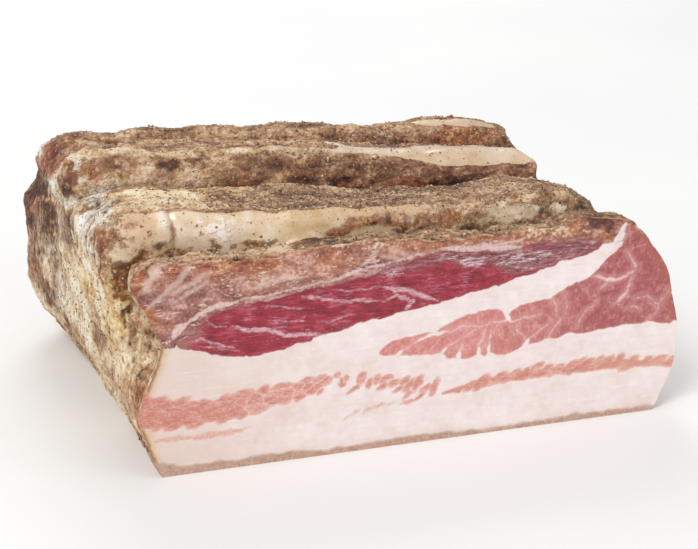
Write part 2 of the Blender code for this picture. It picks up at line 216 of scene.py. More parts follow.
# Patches with a look of their own: middle and half size along the surface's two axes, then strength. The darkest kind
# is painted shade, and the shine and glint kinds are painted highlights.
PATCHES = {
    "left": {
        "wet": [(91, 65.5, 6, 2, 1), (90, 61, 7, 3, 1), (97, 58.5, 7, 2.5, 1), (98, 52.5, 7, 2.5, 1),
                (101, 46, 7, 4.5, 1), (104, 40, 4, 4, 0.6)],
        "meat": [(92, 68.5, 3, 1, 0.8), (101, 37, 6, 4, 0.9), (98, 29, 8, 3.5, 0.9), (94, 24, 10, 3, 0.8),
                 (94, 50, 8, 4, 0.4), (31, 28.5, 7, 3.5, 0.6), (20, 19, 12, 5, 0.5), (14, 12, 10, 4, 0.3)],
        "rust": [(50, 67.5, 1.5, 1, 0.8), (1.5, 36, 2, 5, 0.9), (9, 22, 2, 5, 0.6), (22, 52, 3, 2, 0.6),
                 (30, 36, 2, 4, 0.4), (4, 29.5, 2, 1.5, 0.7), (3, 24, 3, 2.5, 0.8),
                 (2.5, 12, 2, 5, 0.5), (83, 66, 2, 1.5, 0.8)],
        "flesh": [(3, 20, 3.5, 7, 0.9), (8, 13, 5, 4, 0.6), (18, 28, 3, 5, 0.4)],
        "amber": [(49, 66, 2, 2, 1), (13, 54, 1.5, 3, 0.8), (10, 30.5, 1.5, 1.5, 0.8), (22, 43, 1.5, 4, 0.5)],
        # Whitish frosted crust; the first two of these patches are painted highlights on the wet lobes.
        "frost": [(96, 64, 5, 1.5, 0.9), (95, 61.5, 4, 1, 0.7), (88, 56.5, 12, 2.5, 1), (78, 60, 8, 3, 0.9),
                  (62, 62, 8, 3, 0.7), (50, 63, 5, 2, 1), (43, 66.5, 3.5, 1.5, 1), (28, 62.5, 8, 2.5, 1),
                  (25, 59, 11, 4, 0.7), (40, 57, 8, 3, 0.5), (45, 23.5, 4.5, 3.5, 0.6)],
        "grey": [(94, 44, 6, 4, 0.6), (58, 54, 17, 4, 0.9), (97, 35.5, 8, 3.5, 0.6), (81, 37, 10, 5, 0.8),
                 (71, 31, 15, 5, 0.6), (79, 22.5, 10, 4.5, 0.6), (12, 18.5, 7, 3.5, 0.5)],
        "yellow": [(34, 43.5, 8, 5, 0.7), (17, 50, 4, 4, 0.9), (15, 42.5, 3, 6, 1), (13.5, 35.5, 3, 6, 1),
                   (11.5, 29.5, 2, 3.5, 0.9), (20, 36, 6, 8, 0.6), (0.5, 6, 1, 1.5, 0.8)],
        "cream": [(45, 51, 9, 4, 0.6), (28, 53, 12, 5, 0.9), (27, 43, 9, 6, 1), (24, 34, 9, 8, 1),
                  (10, 38, 5, 10, 0.7),
                  (20, 24.5, 9, 4.5, 0.7), (50, 36, 20, 6, 0.6), (54, 26, 22, 6, 0.6)],
        "light": [(69, 31, 16, 6, 0.5), (45, 36, 14, 8, 0.6), (14, 20, 8, 6, 0.6), (27, 46, 12, 9, 0.5),
                  (36, 62, 12, 3, 0.6),
                  (44, 26, 20, 6, 0.8)],
        "dark": [(44, 59, 6, 2.5, 0.7), (84, 46, 12, 5, 1), (66, 49.5, 12, 2.5, 0.6), (90, 21, 10, 3, 0.6),
                 (70, 18, 12, 2.5, 0.6), (40, 8, 40, 2, 0.4), (104, 52, 4, 12, 0.4), (24, 21, 3, 3, 0.6),
                 (94, 54, 6, 4, 0.8), (98, 42, 6, 5, 0.5)],
        # The darkest patches here are painted shade in the wall's crevices.
        "deep": [(2, 39.5, 1.2, 1.2, 1), (0.5, 42, 0.8, 1.5, 1), (4.5, 28, 0.8, 0.8, 1),
                 (89, 50.5, 8, 1, 0.8)],
    },
    "notch": {
        # The darkest patches here are painted shade in the notch's recess.
        "deep": [(-6.4, 56, 2, 1, 0.8), (-5, 52.2, 0.9, 2, 0.9), (-9.5, 50.3, 0.6, 0.5, 0.8),
                 (-5.2, 47, 0.6, 1, 0.6)],
        "amber": [(-7, 55.6, 3.2, 2.2, 1), (-7.4, 52, 2.4, 2.6, 1), (-8.8, 48.6, 1, 0.8, 0.9),
                  (-6.6, 48.3, 0.8, 0.7, 0.9), (-6.3, 44, 0.7, 0.9, 0.9),
                  (-5.2, 37.5, 0.8, 1.2, 0.7)],
        "yellow": [(-10, 46, 1.6, 8, 1), (-7.4, 46, 1, 1.6, 0.8), (-8, 40, 2, 4, 0.8)],
        "cream": [(-6, 42, 4, 5, 0.8), (-8, 47, 3, 2, 0.6)],
        "grey": [(-5.5, 45, 1, 2, 0.5), (-5, 33, 2, 4, 0.4)],
        "rust": [(-4.5, 41, 0.8, 2.5, 0.8), (-4.6, 48, 0.7, 3, 0.7)],
    },
    "top": {
        "yellow": [(4, 33, 15, 5, 0.6), (26, 39, 12, 2, 0.6)],
        "frost": [(-9, 37, 3, 4, 1), (-9.5, 30, 3, 5.5, 0.8), (-10, 21, 2.5, 6, 0.8)],
        "light": [(9, 31, 14, 4, 1), (115.5, 13.5, 2, 1, 1), (26, 4, 9, 1.6, 0.9), (10, 3, 9, 1.2, 0.9),
                  (4, 20, 14, 6, 0.6), (40, 36, 30, 3, 0.3)],
        "cream": [(57, 68.5, 18, 16, 0.9), (53, 87, 17, 1.5, 0.5), (5, 29.5, 11, 5, 1),
                  (11, 21, 12, 3.5, 0.7),
                  (97, 17.5, 7, 3.5, 0.6), (109, 28, 5, 5, 0.6), (116, 21, 4, 4, 0.5), (100, 3, 7, 2.5, 0.8)],
        "amber": [(-3, 36.5, 2, 1.5, 0.7), (22, 30, 1.5, 2.5, 0.9)],
        "rust": [(-8.5, 88, 3, 3, 1), (109.5, 91, 3.5, 1.5, 0.8)],
        "flesh": [(-6.5, 19, 2, 4.5, 0.6), (5, 15.5, 9, 0.7, 0.4), (81.5, 15, 10, 1, 0.5), (28, 2, 8, 3, 1),
                  (12, 1.2, 8, 2, 1), (42, 0.8, 6, 1.6, 0.8), (-4, 0.8, 4, 1.6, 0.8), (75, 0.5, 25, 1, 0.5),
                  (88, 26, 22, 7, 0.7), (60, 19, 20, 3, 0.6), (104, 42, 12, 3, 0.5), (92, 17, 20, 4, 0.8)],
        "grey": [(118, 31.5, 5, 8, 0.6), (124, 16, 3, 3, 0.8), (2, 4, 4, 2, 0.6)],
        "dark": [(123.5, 13.5, 2, 1, 0.6), (60, 7, 20, 2, 0.5)],
    },
    "bank_2": {
        "fat": [(-3.5, 63, 2.5, 1.5, 0.6), (4, 66, 2, 3, 1)],
        "tallow": [(-7.5, 59, 3, 2.5, 0.9), (62.5, 58.5, 3.5, 1, 0.7), (100, 60, 11, 2, 1),
                   (115, 59.8, 3.5, 1.5, 0.8)],
        # Shine patches are painted highlights on the wet fat.
        "shine": [(14, 66, 1.5, 1.5, 0.6), (19.5, 63.5, 3.5, 2.8, 1), (4, 67, 1, 1.5, 0.6)],
        "rust": [(-11, 64, 2.5, 2, 1), (-12, 59, 0.8, 2, 0.9), (6.2, 64, 0.4, 3, 0.7),
                 (-4.5, 66.5, 1.5, 0.6, 0.6), (50.5, 60, 3, 1.2, 1), (54.5, 61, 4, 1.8, 1),
                 (60, 61.8, 4, 1.6, 1), (83, 60, 5, 1.8, 1), (67, 61.5, 5, 1.5, 0.9), (76, 60, 3, 1.8, 0.9),
                 (92, 60.5, 3, 1, 0.6)],
        "wet": [(-12.5, 61.5, 1, 2, 0.8)],
        "flesh": [(-8, 67.5, 3, 1, 0.5), (-6, 65.5, 3, 1, 0.6), (6.5, 64, 0.8, 3.5, 0.8),
                  (8.5, 65.5, 1.5, 2, 0.5),
                  (75, 62, 5.5, 1.2, 0.7), (58, 64, 8, 1, 0.8), (66, 64.2, 8, 0.8, 0.8),
                  (84, 63.3, 9, 0.8, 0.8),
                  (100, 63, 9, 0.7, 0.8), (72, 60, 10, 2, 0.5), (88, 61.8, 8, 1.2, 0.6)],
        "amber": [(3, 60.5, 2.5, 1, 0.7), (-3, 57.8, 2, 1, 0.8), (73, 60, 1.5, 0.6, 0.8)],
        "stain": [(-2, 59, 2, 1, 1), (-7, 62, 0.8, 0.5, 0.7), (-4, 64, 0.6, 0.6, 0.7),
                  (0.5, 63.5, 0.5, 0.5, 0.7),
                  (-1.5, 61, 0.8, 0.5, 0.6), (9.5, 59, 1.5, 0.6, 0.7), (17.5, 59, 1.5, 0.8, 1),
                  (22, 58.3, 1, 0.6, 0.9), (14.5, 62.5, 0.4, 0.4, 0.9),
                  (16.5, 60.5, 0.8, 0.5, 0.8), (31, 59, 3.5, 0.6, 1), (27, 59, 2, 0.4, 0.8),
                  (64, 63, 2.5, 1, 0.6),
                  (70.5, 60, 1, 1, 0.9), (86.5, 59.5, 2.5, 1, 0.9), (90.5, 59, 1, 0.6, 0.9)],
        # The darkest patches here are painted shade along the bank's foot and in its creases.
        "deep": [(16.5, 57.5, 2.5, 0.5, 1), (61.5, 60.5, 1, 0.8, 1), (66, 61.5, 1, 0.5, 1),
                 (68.5, 58.5, 2, 0.8, 1),
                 (74.5, 58, 3, 0.6, 1), (88, 56.5, 4, 0.8, 1), (110, 59, 0.5, 1.2, 0.9)],
        "dark": [(123.5, 59, 2.5, 1, 0.7)],
    },
    "bank_3": {
        "cream": [(2, 75.5, 6, 1, 0.9), (16, 73.5, 11, 1, 0.8), (61, 70, 7, 0.7, 0.8),
                  (88.5, 61.5, 2, 1, 0.6),
                  (-2, 67, 8, 3, 0.7), (14, 66, 8, 2.5, 0.6), (28, 66.5, 5, 2, 0.5)],
        "light": [(0, 69, 10, 5, 0.7), (14, 66, 10, 2.5, 0.7), (27, 67, 6, 3, 0.5), (40, 66.5, 5, 2, 0.4)],
        "frost": [(-12, 72.5, 2, 0.7, 0.9), (-11.5, 69, 1, 1, 0.9), (7.5, 71.5, 1, 0.9, 0.5),
                  (24.5, 71.7, 0.8, 0.5, 0.4),
                  (19, 68.5, 3, 1.5, 0.3), (58.5, 68, 0.8, 1.8, 0.3)],
        "meat": [(2, 73, 3.5, 1.2, 0.8), (31.5, 68, 6, 1.5, 0.6), (64.5, 66, 5, 1.5, 0.5),
                 (78.5, 64.5, 2.5, 1.5, 0.7)],
        "grey": [(10, 69, 5, 1.5, 0.5), (40, 68.5, 6, 2, 0.5)],
        "dark": [(13, 71, 3, 1, 0.9), (21, 71, 3, 1, 0.8), (50.5, 64, 7.5, 1.2, 0.6), (62.5, 63, 6, 1.4, 0.7),
                 (75, 61.5, 5, 1.4, 0.7), (98, 59, 12, 1, 1)],
        "wet": [(-8, 70.5, 1, 1, 0.9), (-13.5, 69.5, 1.2, 1.2, 0.9), (83.5, 59, 8, 0.8, 0.9)],
        "rust": [(-9.5, 72, 1.5, 1, 1), (34, 64.5, 2.5, 0.6, 0.9), (54.5, 68, 1, 1, 0.5),
                 (82.5, 60, 8, 0.8, 0.9),
                 (62, 61, 9, 0.8, 0.6), (27, 66, 2, 0.8, 0.5)],
        "yellow": [(-12.5, 66.5, 1.6, 1.2, 1)],
        "amber": [(-14, 72, 0.7, 1, 1), (-15.5, 66, 0.8, 1.5, 1)],
        # The darkest patch here is painted shade in a crease.
        "deep": [(-9.5, 74, 1.5, 0.4, 0.7)],
    },
    "bank_4": {
        "frost": [(-10, 66.5, 2.5, 1.2, 0.9), (88.5, 63.2, 1, 0.8, 0.5)],
        "meat": [(12.5, 68, 10, 1, 0.7), (84.5, 63, 11, 1.5, 0.8), (116, 60.5, 10.5, 2.5, 1)],
        "rust": [(114, 60.5, 13, 2.5, 0.85)],
        "flesh": [(122, 61, 5, 2.5, 0.5), (70, 65.5, 16, 0.8, 0.5)],
        "dark": [(93.5, 60, 8, 0.6, 0.7)],
    },
    "face": {
        "orange": [(-5.5, 56, 2, 3, 1), (-4.5, 59.5, 3, 1.5, 0.8), (3.5, 57.5, 2.2, 1.8, 0.8),
                   (8, 60, 6, 1.8, 0.9),
                   (14, 57.5, 4, 2.5, 0.8), (19, 58.5, 6, 3, 0.9), (27, 58, 6, 3, 0.9), (34, 60, 7, 1.6, 0.7),
                   (46, 56, 4, 2.5, 0.6), (46, 60, 8, 1.2, 0.5), (66, 57.2, 5, 1.2, 0.7),
                   (73, 58, 9, 1.5, 0.9),
                   (82, 58.3, 8, 1.5, 0.9), (91, 58.6, 8, 1.3, 0.9), (101, 57, 8, 1.1, 0.9),
                   (115.3, 58, 2, 1.8, 1),
                   (125, 54.3, 2, 1.7, 0.9), (118, 56, 2.5, 1.6, 0.6), (-2.5, 44, 1.2, 6, 0.8)],
        "mauve": [(0, 50.5, 4, 3, 0.9), (4, 50, 4, 3, 0.9), (8.5, 51.8, 4, 2.5, 0.8), (12.5, 49.6, 5, 2, 0.8),
                  (5, 46, 4, 2, 0.7), (19, 52, 6, 2, 0.6), (28, 52.5, 5, 1.6, 0.4)],
        "milky": [(-1, 57.6, 1.3, 1.8, 0.9), (-3, 54, 0.8, 2.2, 0.6)],
        "rosy": [(37, 56.7, 7, 2.4, 0.7), (43, 54.5, 4, 2, 0.6), (49, 56.5, 3.5, 2, 0.7),
                 (56, 55, 3, 1.5, 0.6)],
        "cream": [(0.5, 60.8, 5, 0.7, 0.9), (14.7, 60.2, 4, 1.1, 0.9), (24, 61.3, 5, 0.9, 0.9),
                  (34, 61, 6, 0.7, 0.7),
                  (50, 60.6, 6, 1, 0.9), (60, 58.6, 5, 0.9, 0.7), (83, 59.7, 2, 0.5, 0.7),
                  (104, 58, 6, 1.1, 0.9),
                  (111, 57.4, 4, 1.6, 0.8), (118.8, 57.8, 0.8, 1.6, 0.6), (121, 54, 1, 2.2, 0.5)],
        "maroon": [(122.5, 59.3, 2.8, 2.2, 1), (126, 57.2, 1.2, 1.6, 0.9)],
        "brown": [(5, 37.4, 3.5, 1.2, 0.9), (8.5, 39.7, 2.5, 1, 0.8), (11, 41.7, 2, 1, 0.5)],
        # Glint patches mark where painted highlights lie on the lean.
        "glint": [(86, 51.2, 5, 1.2, 0.8), (96.5, 51.3, 4, 1.4, 1), (104, 51.2, 4, 1.2, 0.8),
                  (56.5, 54.5, 2.5, 2.5, 1),
                  (79, 53.5, 5, 1.2, 0.5), (63, 50.6, 4, 1.2, 0.6), (24, 50.2, 8, 1, 0.5),
                  (31, 52, 5, 1, 0.7)],
    },
}

# Upper and lower edge of the fat along the front of the third strip's right half, and of the last strip's.
TONGUE = [(52, 71, 70.6), (58, 70.8, 70.2), (66.5, 70.2, 69.2), (75, 69.2, 67.8), (84, 68, 65.6),
          (95.5, 67.4, 63.2),
          (108, 66.6, 62.4), (122, 65, 61.6)]
STRIPE = [(88, 66.4, 66), (98, 66.3, 65), (108, 66.2, 64.3), (114, 65.8, 63.8), (122, 64.6, 62.6),
          (128, 63, 61.4)]

# Small pushes of the crust's surface: middle, radii and how far out.
PUSHES = [
    ((-14.5, 100, 64), (4, 10, 4), 1.2), ((-18.5, 107, 52), (5, 14, 5), -1.6), ((-16.5, 104, 57), (4, 10, 3),
                                                                                -0.8),
    ((124.5, 51, 61.5), (5, 6, 4), 1.1), ((126, 47.5, 57.5), (5, 5, 3), -1.2), ((126, 33, 60), (10, 12, 4),
                                                                                1.1),
    ((130.5, 84, 57), (5, 6, 3), -0.8), ((127, 4, 59.5), (8, 4, 4), 0.7), ((-6, 7, 54.5), (5, 4, 3), -2),
    ((-4, 10, 47), (4, 2.5, 4), -0.9), ((-3, 6, 31), (3, 3, 4), -0.8), ((143, 0, 52), (7, 14, 8), 1.0),
    ((150, 0, 34), (5, 14, 8), 0.5)]


def place(points):
    """Sketch millimetres to frame metres."""
    return np.asarray(points, float) * MM + ZERO


def sketch(places):
    """Frame metres to sketch millimetres."""
    return (np.asarray(places, float) - ZERO) / MM


LOW, HIGH = sketch(cad_low), sketch(cad_high)


def smoothstep(value, low, high):
    share = np.clip((value - low) / (high - low), 0, 1)
    return share * share * (3 - 2 * share)


def between(value, low, high, soft):
    """One inside a range, fading to zero over soft on each side."""
    return smoothstep(value, low - soft, low + soft) * (1 - smoothstep(value, high - soft, high + soft))


def along(value, rows):
    grid = np.array(rows, float)
    return np.interp(value, grid[:, 0], grid[:, 1])


# Noise, worked out for whole arrays of points at once

TURN = np.array(Matrix.Rotation(0.9, 3, Vector((1, 2, 3)).normalized()))


def hashed(cell, seed):
    """A repeatable number from 0 to 1 for each whole-numbered cell."""
    x, y, z = (cell[:, i].astype(np.int64) for i in range(3))
    mixed = (x * 73856093) ^ (y * 19349663) ^ (z * 83492791) ^ (seed * 83492791 + 374761393)
    mixed = (mixed ^ (mixed >> 13)) * 1274126177 & 0x7FFFFFFF
    mixed = (mixed ^ (mixed >> 15)) * 668265263 & 0x7FFFFFFF
    return (mixed ^ (mixed >> 13)) / 0x7FFFFFFF


def noise(points, size, seed):
    """Smooth noise from -1 to 1, with features of about the given size."""
    scaled = points / size
    cell = np.floor(scaled)
    part = scaled - cell
    part = part * part * part * (part * (part * 6 - 15) + 10)
    total = np.zeros(len(points))
    for corner in range(8):
        step = np.array([corner & 1, corner >> 1 & 1, corner >> 2 & 1])
        weight = np.where(step, part, 1 - part).prod(1)
        total += weight * hashed(cell + step, seed)
    return total * 2 - 1


def layered(points, size, seed, octaves=3, gain=0.5):
    total, height, reach = np.zeros(len(points)), 1.0, 0.0
    for octave in range(octaves):
        total += height * noise(points, size, seed + octave)
        reach += height
        points, size, height = points @ TURN, size * 0.52, height * gain
    return total / reach


def cells(points, size, seed):
    """Distance to the nearest scattered point and to the one after it, in cell sizes, and a number for the cell."""
    scaled = points / size
    home = np.floor(scaled)
    first, second = np.full(len(points), 9.0), np.full(len(points), 9.0)
    number = np.zeros(len(points))
    for dx in (-1, 0, 1):
        for dy in (-1, 0, 1):
            for dz in (-1, 0, 1):
                cell = home + (dx, dy, dz)
                spot = cell + np.stack([hashed(cell, seed + i) for i in range(3)], 1)
                gap = np.linalg.norm(spot - scaled, axis=1)
                nearer = gap < first
                second = np.where(nearer, first, np.minimum(second, gap))
                number = np.where(nearer, hashed(cell, seed + 7), number)
                first = np.where(nearer, gap, first)
    return first, second, number


def inside(x, z, outline):
    """Signed distance to a closed outline, positive inside."""
    corners = np.array(outline, float)
    nearest = np.full(len(x), 1e9)
    within = np.zeros(len(x), bool)
    for (ax, az), (bx, bz) in zip(corners, np.roll(corners, -1, 0)):
        ex, ez = bx - ax, bz - az
        share = np.clip(((x - ax) * ex + (z - az) * ez) / (ex * ex + ez * ez), 0, 1)
        nearest = np.minimum(nearest, np.hypot(x - ax - share * ex, z - az - share * ez))
        if az != bz:
            within ^= ((az > z) != (bz > z)) & (x < ax + (z - az) * ex / ez)
    return np.where(within, nearest, -nearest)


def rounded(outline, times=2):
    """A closed outline with its corners cut off again and again, which makes them round."""
    corners = np.array(outline, float)
    for _ in range(times):
        ahead = np.roll(corners, -1, 0)
        corners = np.stack([0.75 * corners + 0.25 * ahead, 0.25 * corners + 0.75 * ahead], 1).reshape(-1, 2)
    return corners


# Meshes


def new_object(name, data):
    made = bpy.data.objects.new(name, data)
    bpy.context.scene.collection.objects.link(made)
    return made


def read(items, name, width=1, kind=np.float32):
    """A value, or a row of values, for each item of a mesh."""
    flat = np.empty(len(items) * width, kind)
    items.foreach_get(name, flat)
    return flat.astype(float if kind == np.float32 else int).reshape((-1, width) if width > 1 else -1)


def mesh_points(data):
    return sketch(read(data.vertices, "co", 3))


def mesh_normals(data):
    return read(data.vertex_normals, "vector", 3)


def mesh_edges(data):
    return read(data.edges, "vertices", 2, np.int32)


def face_centres(data):
    return sketch(read(data.polygons, "center", 3))


def set_points(data, points):
    data.vertices.foreach_set("co", place(points).astype(np.float32).ravel())
    data.update()


def set_field(data, name, values):
    layer = data.attributes.get(name) or data.attributes.new(name, "FLOAT", "POINT")
    layer.data.foreach_set("value", np.asarray(values, np.float32))


def mesh_of(work, name):
    """A new mesh from a bmesh, which ends here."""
    made = bpy.data.meshes.new(name)
    work.to_mesh(made)
    work.free()
    return made


def relax(points, edges, times, share):
    """Each point moves towards the mean of its neighbours; share may differ from point to point."""
    share = np.broadcast_to(share, len(points))[:, None]
    edges = edges[(share[edges, 0] > 0).any(1)]
    count = np.bincount(edges.ravel(), minlength=len(points)).astype(float)
    for _ in range(times):
        mean = np.empty_like(points)
        for axis in range(3):
            mean[:, axis] = (
                np.bincount(edges[:, 0], points[edges[:, 1], axis], len(points))
                + np.bincount(edges[:, 1], points[edges[:, 0], axis], len(points))
            )
        mean /= np.maximum(count, 1)[:, None]
        points = points + (mean - points) * share
    return points


def fine_body():
    """The solid as an even fine mesh. It runs a little past the cut and the underside, which trim it later."""
    work = bmesh.new()
    work.from_mesh(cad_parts[NODE].data)
    bmesh.ops.remove_doubles(work, verts=work.verts, dist=1e-6)
    for axis, low in ((1, cad_low[1]), (2, cad_low[2])):
        flat = [f for f in work.faces if all(v.co[axis] < low + 1e-5 for v in f.verts)]
        grown = bmesh.ops.extrude_face_region(work, geom=flat)
        moved = [g for g in grown["geom"] if isinstance(g, bmesh.types.BMVert)]
        bmesh.ops.delete(work, geom=flat, context="FACES_ONLY")
        shift = Vector((0, 0, 0))
        shift[axis] = -SPARE * MM
        bmesh.ops.translate(work, verts=moved, vec=shift)
    bmesh.ops.recalc_face_normals(work, faces=work.faces)
    body = new_object("body", mesh_of(work, "body"))
    even = body.modifiers.new("even", "REMESH")
    even.mode = "VOXEL"
    even.voxel_size = CRUST_SPACING * MM
    bpy.context.view_layer.update()
    fine = bpy.data.meshes.new_from_object(body.evaluated_get(bpy.context.evaluated_depsgraph_get()))
    bpy.data.objects.remove(body)
    return fine


def crest_height(x, y):
    """Rough height of the strips' front edges, used to tell upper from lower parts of a bank."""
    third = along(x, [(-17, 74), (-7, 76.8), (8, 75.2), (45, 73.4), (77, 69.4), (101, 66.8), (122, 64.6)])
    second = along(x, [(-13, 68), (5, 70.4), (35, 66.8), (52, 65.8), (100, 64.6), (116, 63.6), (128, 59)])
    back = along(x, [(-16, 72), (4, 69.6), (32, 69.2), (63, 67.6), (84, 66.4), (112, 65.8), (130, 62.2)])
    front = along(x, [(-8, 58.5), (-1, 61), (48, 60.2), (93, 58.3), (119, 62), (150, 60)])
    return np.select([y < GROOVES[0], y < GROOVES[1], y < GROOVES[2]], [front, second, third], back)


def bent(points, size, reach, seed):
    """The points pushed about by smooth noise, so that what is laid out on them gets natural edges."""
    return points + reach * np.stack([layered(points, size, seed + 10 * i, 3, 0.6) for i in range(3)], 1)


def patches(points, kind, zones):
    """How strongly the listed patches of one kind cover each point."""
    total = np.zeros(len(points))
    for surface, zone in zones.items():
        first, second = SURFACES[surface]
        for *middle, wide, tall, strength in PATCHES[surface].get(kind, []):
            reach = np.hypot((points[:, first] - middle[0]) / (wide + 0.4),
                             (points[:, second] - middle[1]) / (tall + 0.4))
            total = np.maximum(total, strength * (1 - smoothstep(reach, 0.4, 1.5)) * zone)
    return total


def crust_fields(points, normals):
    """What covers the crust where, each from 0 to 1."""
    nx, ny, nz = normals.T
    loose = bent(points, 6, 2.2, SEED + 40)
    x, y, z = loose.T
    true_y = points[:, 1]
    up = smoothstep(nz, 0.4, 0.8) * smoothstep(z, 48, 54)
    high = smoothstep(z, 50, 54)
    ahead = smoothstep(-ny, 0.3, 0.7) * smoothstep(z, 44, 50)
    right = smoothstep(nx, 0.35, 0.75)
    behind = smoothstep(ny, 0.5, 0.85) * smoothstep(y, 108, 114)
    blotch = layered(points, 20, SEED + 50, 2)
    below = crest_height(x, y) - z
    bank_2 = ahead * between(true_y, 8.5, 17, 1)
    bank_3 = ahead * between(y, 44, 57, 1.5)
    bank_4 = ahead * between(y, 79, 93, 1.5)
    banks = np.clip(bank_2 + bank_3 + bank_4, 0, 1)
    top_1 = up * (true_y < GROOVES[0])
    top_2 = up * between(true_y, GROOVES[0], GROOVES[1], 0.5) * (1 - bank_2)
    top_3 = up * between(y, GROOVES[1], GROOVES[2], 0.5) * (1 - bank_3)
    top_4 = up * (y > GROOVES[2]) * (1 - bank_4)
    recess = smoothstep(-ny, 0.3, 0.7) * between(true_y, 1, 14, 1) * (1 - smoothstep(z, 55, 58))
    notch = smoothstep(-ny, 0.3, 0.7) * between(true_y, 8.5, 14.5, 0.8) * (points[:, 0] < -1) * (points[:, 2] < 59)
    side = np.clip(smoothstep(-nx, 0.35, 0.75) + right + behind + recess, 0, 1)
    walls = side * (1 - banks) * (1 - up)
    front = (1 - smoothstep(nz, 0.75, 0.95)) * high
    zones = {
        "left": (1 - smoothstep(points[:, 0], -4, 1)) * (1 - notch), "notch": notch,
        "top": smoothstep(nz, 0.3, 0.7) * high,
        "bank_2": front * between(true_y, 7.5, 18, 1), "bank_3": front * between(true_y, 43, 60, 1),
        "bank_4": front * between(true_y, 78, 96, 1),
    }
    # Painted highlight: the banks' crests are made lighter and creamier.
    crest_highlight = smoothstep(nz, 0.25, 0.55) * (1 - smoothstep(nz, 0.85, 0.97)) * between(below, -3, 2.5, 1)
    crest_highlight = crest_highlight * np.maximum(between(y, 46, 60, 2) * (1 - smoothstep(x, 84, 96)), 0.4 * between(y, 82, 94, 2))
    near = bent(points, 4, 1.6, SEED + 45)
    kinds = {kind for surface in zones for kind in PATCHES[surface]}
    field = {kind: patches(near, kind, zones) for kind in sorted(kinds)}

    # The second strip's front is bare fat on its left; the last two have a stripe of it on their right.
    bare = bank_2 * between(below, -2.2, 11.5, 1.2)
    bare = bare * along(x, [(-12, 0.3), (0, 0.6), (4, 0.85), (10, 1), (46, 1), (54, 0.9), (62, 0.6), (76, 0.45),
                            (86, 0.3), (98, 0.1)])
    steady = bent(points, 5, 0.6, SEED + 47)
    fat_edges = []
    for rows, nearest, last in ((TONGUE, 46, 62), (STRIPE, 80, 90)):
        upper = along(steady[:, 0], [(a, b) for a, b, c in rows])
        lower = along(steady[:, 0], [(a, c) for a, b, c in rows])
        band = between(steady[:, 2], lower, upper, 0.4) * between(true_y, nearest, last, 1)
        fat_edges.append(band * smoothstep(steady[:, 0], rows[0][0] + 6, rows[0][0] + 12))
    # The fat bands on the back strips; the shader darkens them as painted shade.
    field["shaded_back_fat"] = np.maximum.reduce(fat_edges)
    field["fat"] = np.maximum.reduce([field["fat"], bare, field["shaded_back_fat"]])
    field["meat"] = np.maximum.reduce([
        field["meat"],
        bank_3 * smoothstep(x, 82, 90) * smoothstep(below, 2.6, 4) * 0.9,
        bank_4 * along(x, [(-20, 0.5), (0, 0.45), (60, 0.4), (96, 0.55), (108, 0.95), (140, 1)]),
        bank_3 * along(x, [(-20, 0.4), (10, 0.42), (50, 0.5), (60, 0.62), (80, 0.7)]),
        right * (between(z, 13, 20, 1) * 0.7 + between(z, 27, 54, 2) * 0.8),
        behind * (between(z, 13, 21, 2) * 0.6 + between(z, 34, 54, 3) * 0.7),
    ])
    spice = top_1 * 0.5 + top_2 * along(x, [(-10, 0), (16, 0.1), (34, 0.8), (80, 0.75), (118, 0.5)])
    spice = spice + top_3 * along(x, [(-10, 0.05), (30, 0.2), (60, 0.35), (110, 0.2)]) + top_4 * 0.3
    spice = spice + bank_3 * along(x, [(-10, 0.1), (40, 0.25), (60, 0.5), (80, 0.4), (90, 0.1)]) + bank_4 * 0.25
    spice = spice + bank_2 * along(x, [(52, 0.05), (60, 0.3), (84, 0.35), (92, 0.2), (106, 0.3), (112, 0.5)])
    field["spice"] = np.clip(spice * (0.75 + 0.5 * smoothstep(blotch, -0.4, 0.4)), 0, 1)
    field["cream"] = np.maximum.reduce([
        field["cream"],
        top_2 * smoothstep(y, 38, 42) * along(x, [(-10, 0.9), (44, 0.7), (60, 0.3), (120, 0.5)]),
        top_3 * along(x, [(-10, 0.35), (60, 0.28), (120, 0.25)]), top_4 * 0.3,
        bank_2 * along(x, [(-20, 0.6), (60, 0.5), (80, 0.4), (110, 0.3)]),
        bank_3 * along(x, [(-10, 0.35), (20, 0.3), (40, 0.15), (60, 0)]), bank_4 * 0.3, crest_highlight * 0.9,
    ])
    field["light"] = np.maximum(field["light"], crest_highlight * 0.4)
    field["dark"] = np.maximum.reduce([field["dark"], 0.35 * bank_3 * (1 - smoothstep(x, 78, 90)), 0.3 * top_3])
    # Painted shade along the foot of each bank, down in the grooves.
    foot = np.clip(between(y, 6, 15, 1) + between(y, 43, 50, 1) + between(y, 78, 85, 1), 0, 1)
    foot = smoothstep(below, 13, 18) * foot * smoothstep(x, -4, 4) * (1 - smoothstep(x, 124, 130))
    field["deep"] = np.maximum(field["deep"], foot)
    field["wall"] = walls
    field["up"] = up
    plain = np.maximum(0.7 * field["tallow"], 0.4 * np.maximum(field["light"], field["grey"]) * walls)
    field["smooth"] = np.clip(np.maximum(field["fat"] * 1.5, plain) - field["stain"] * 0.4, 0, 1)
    return field


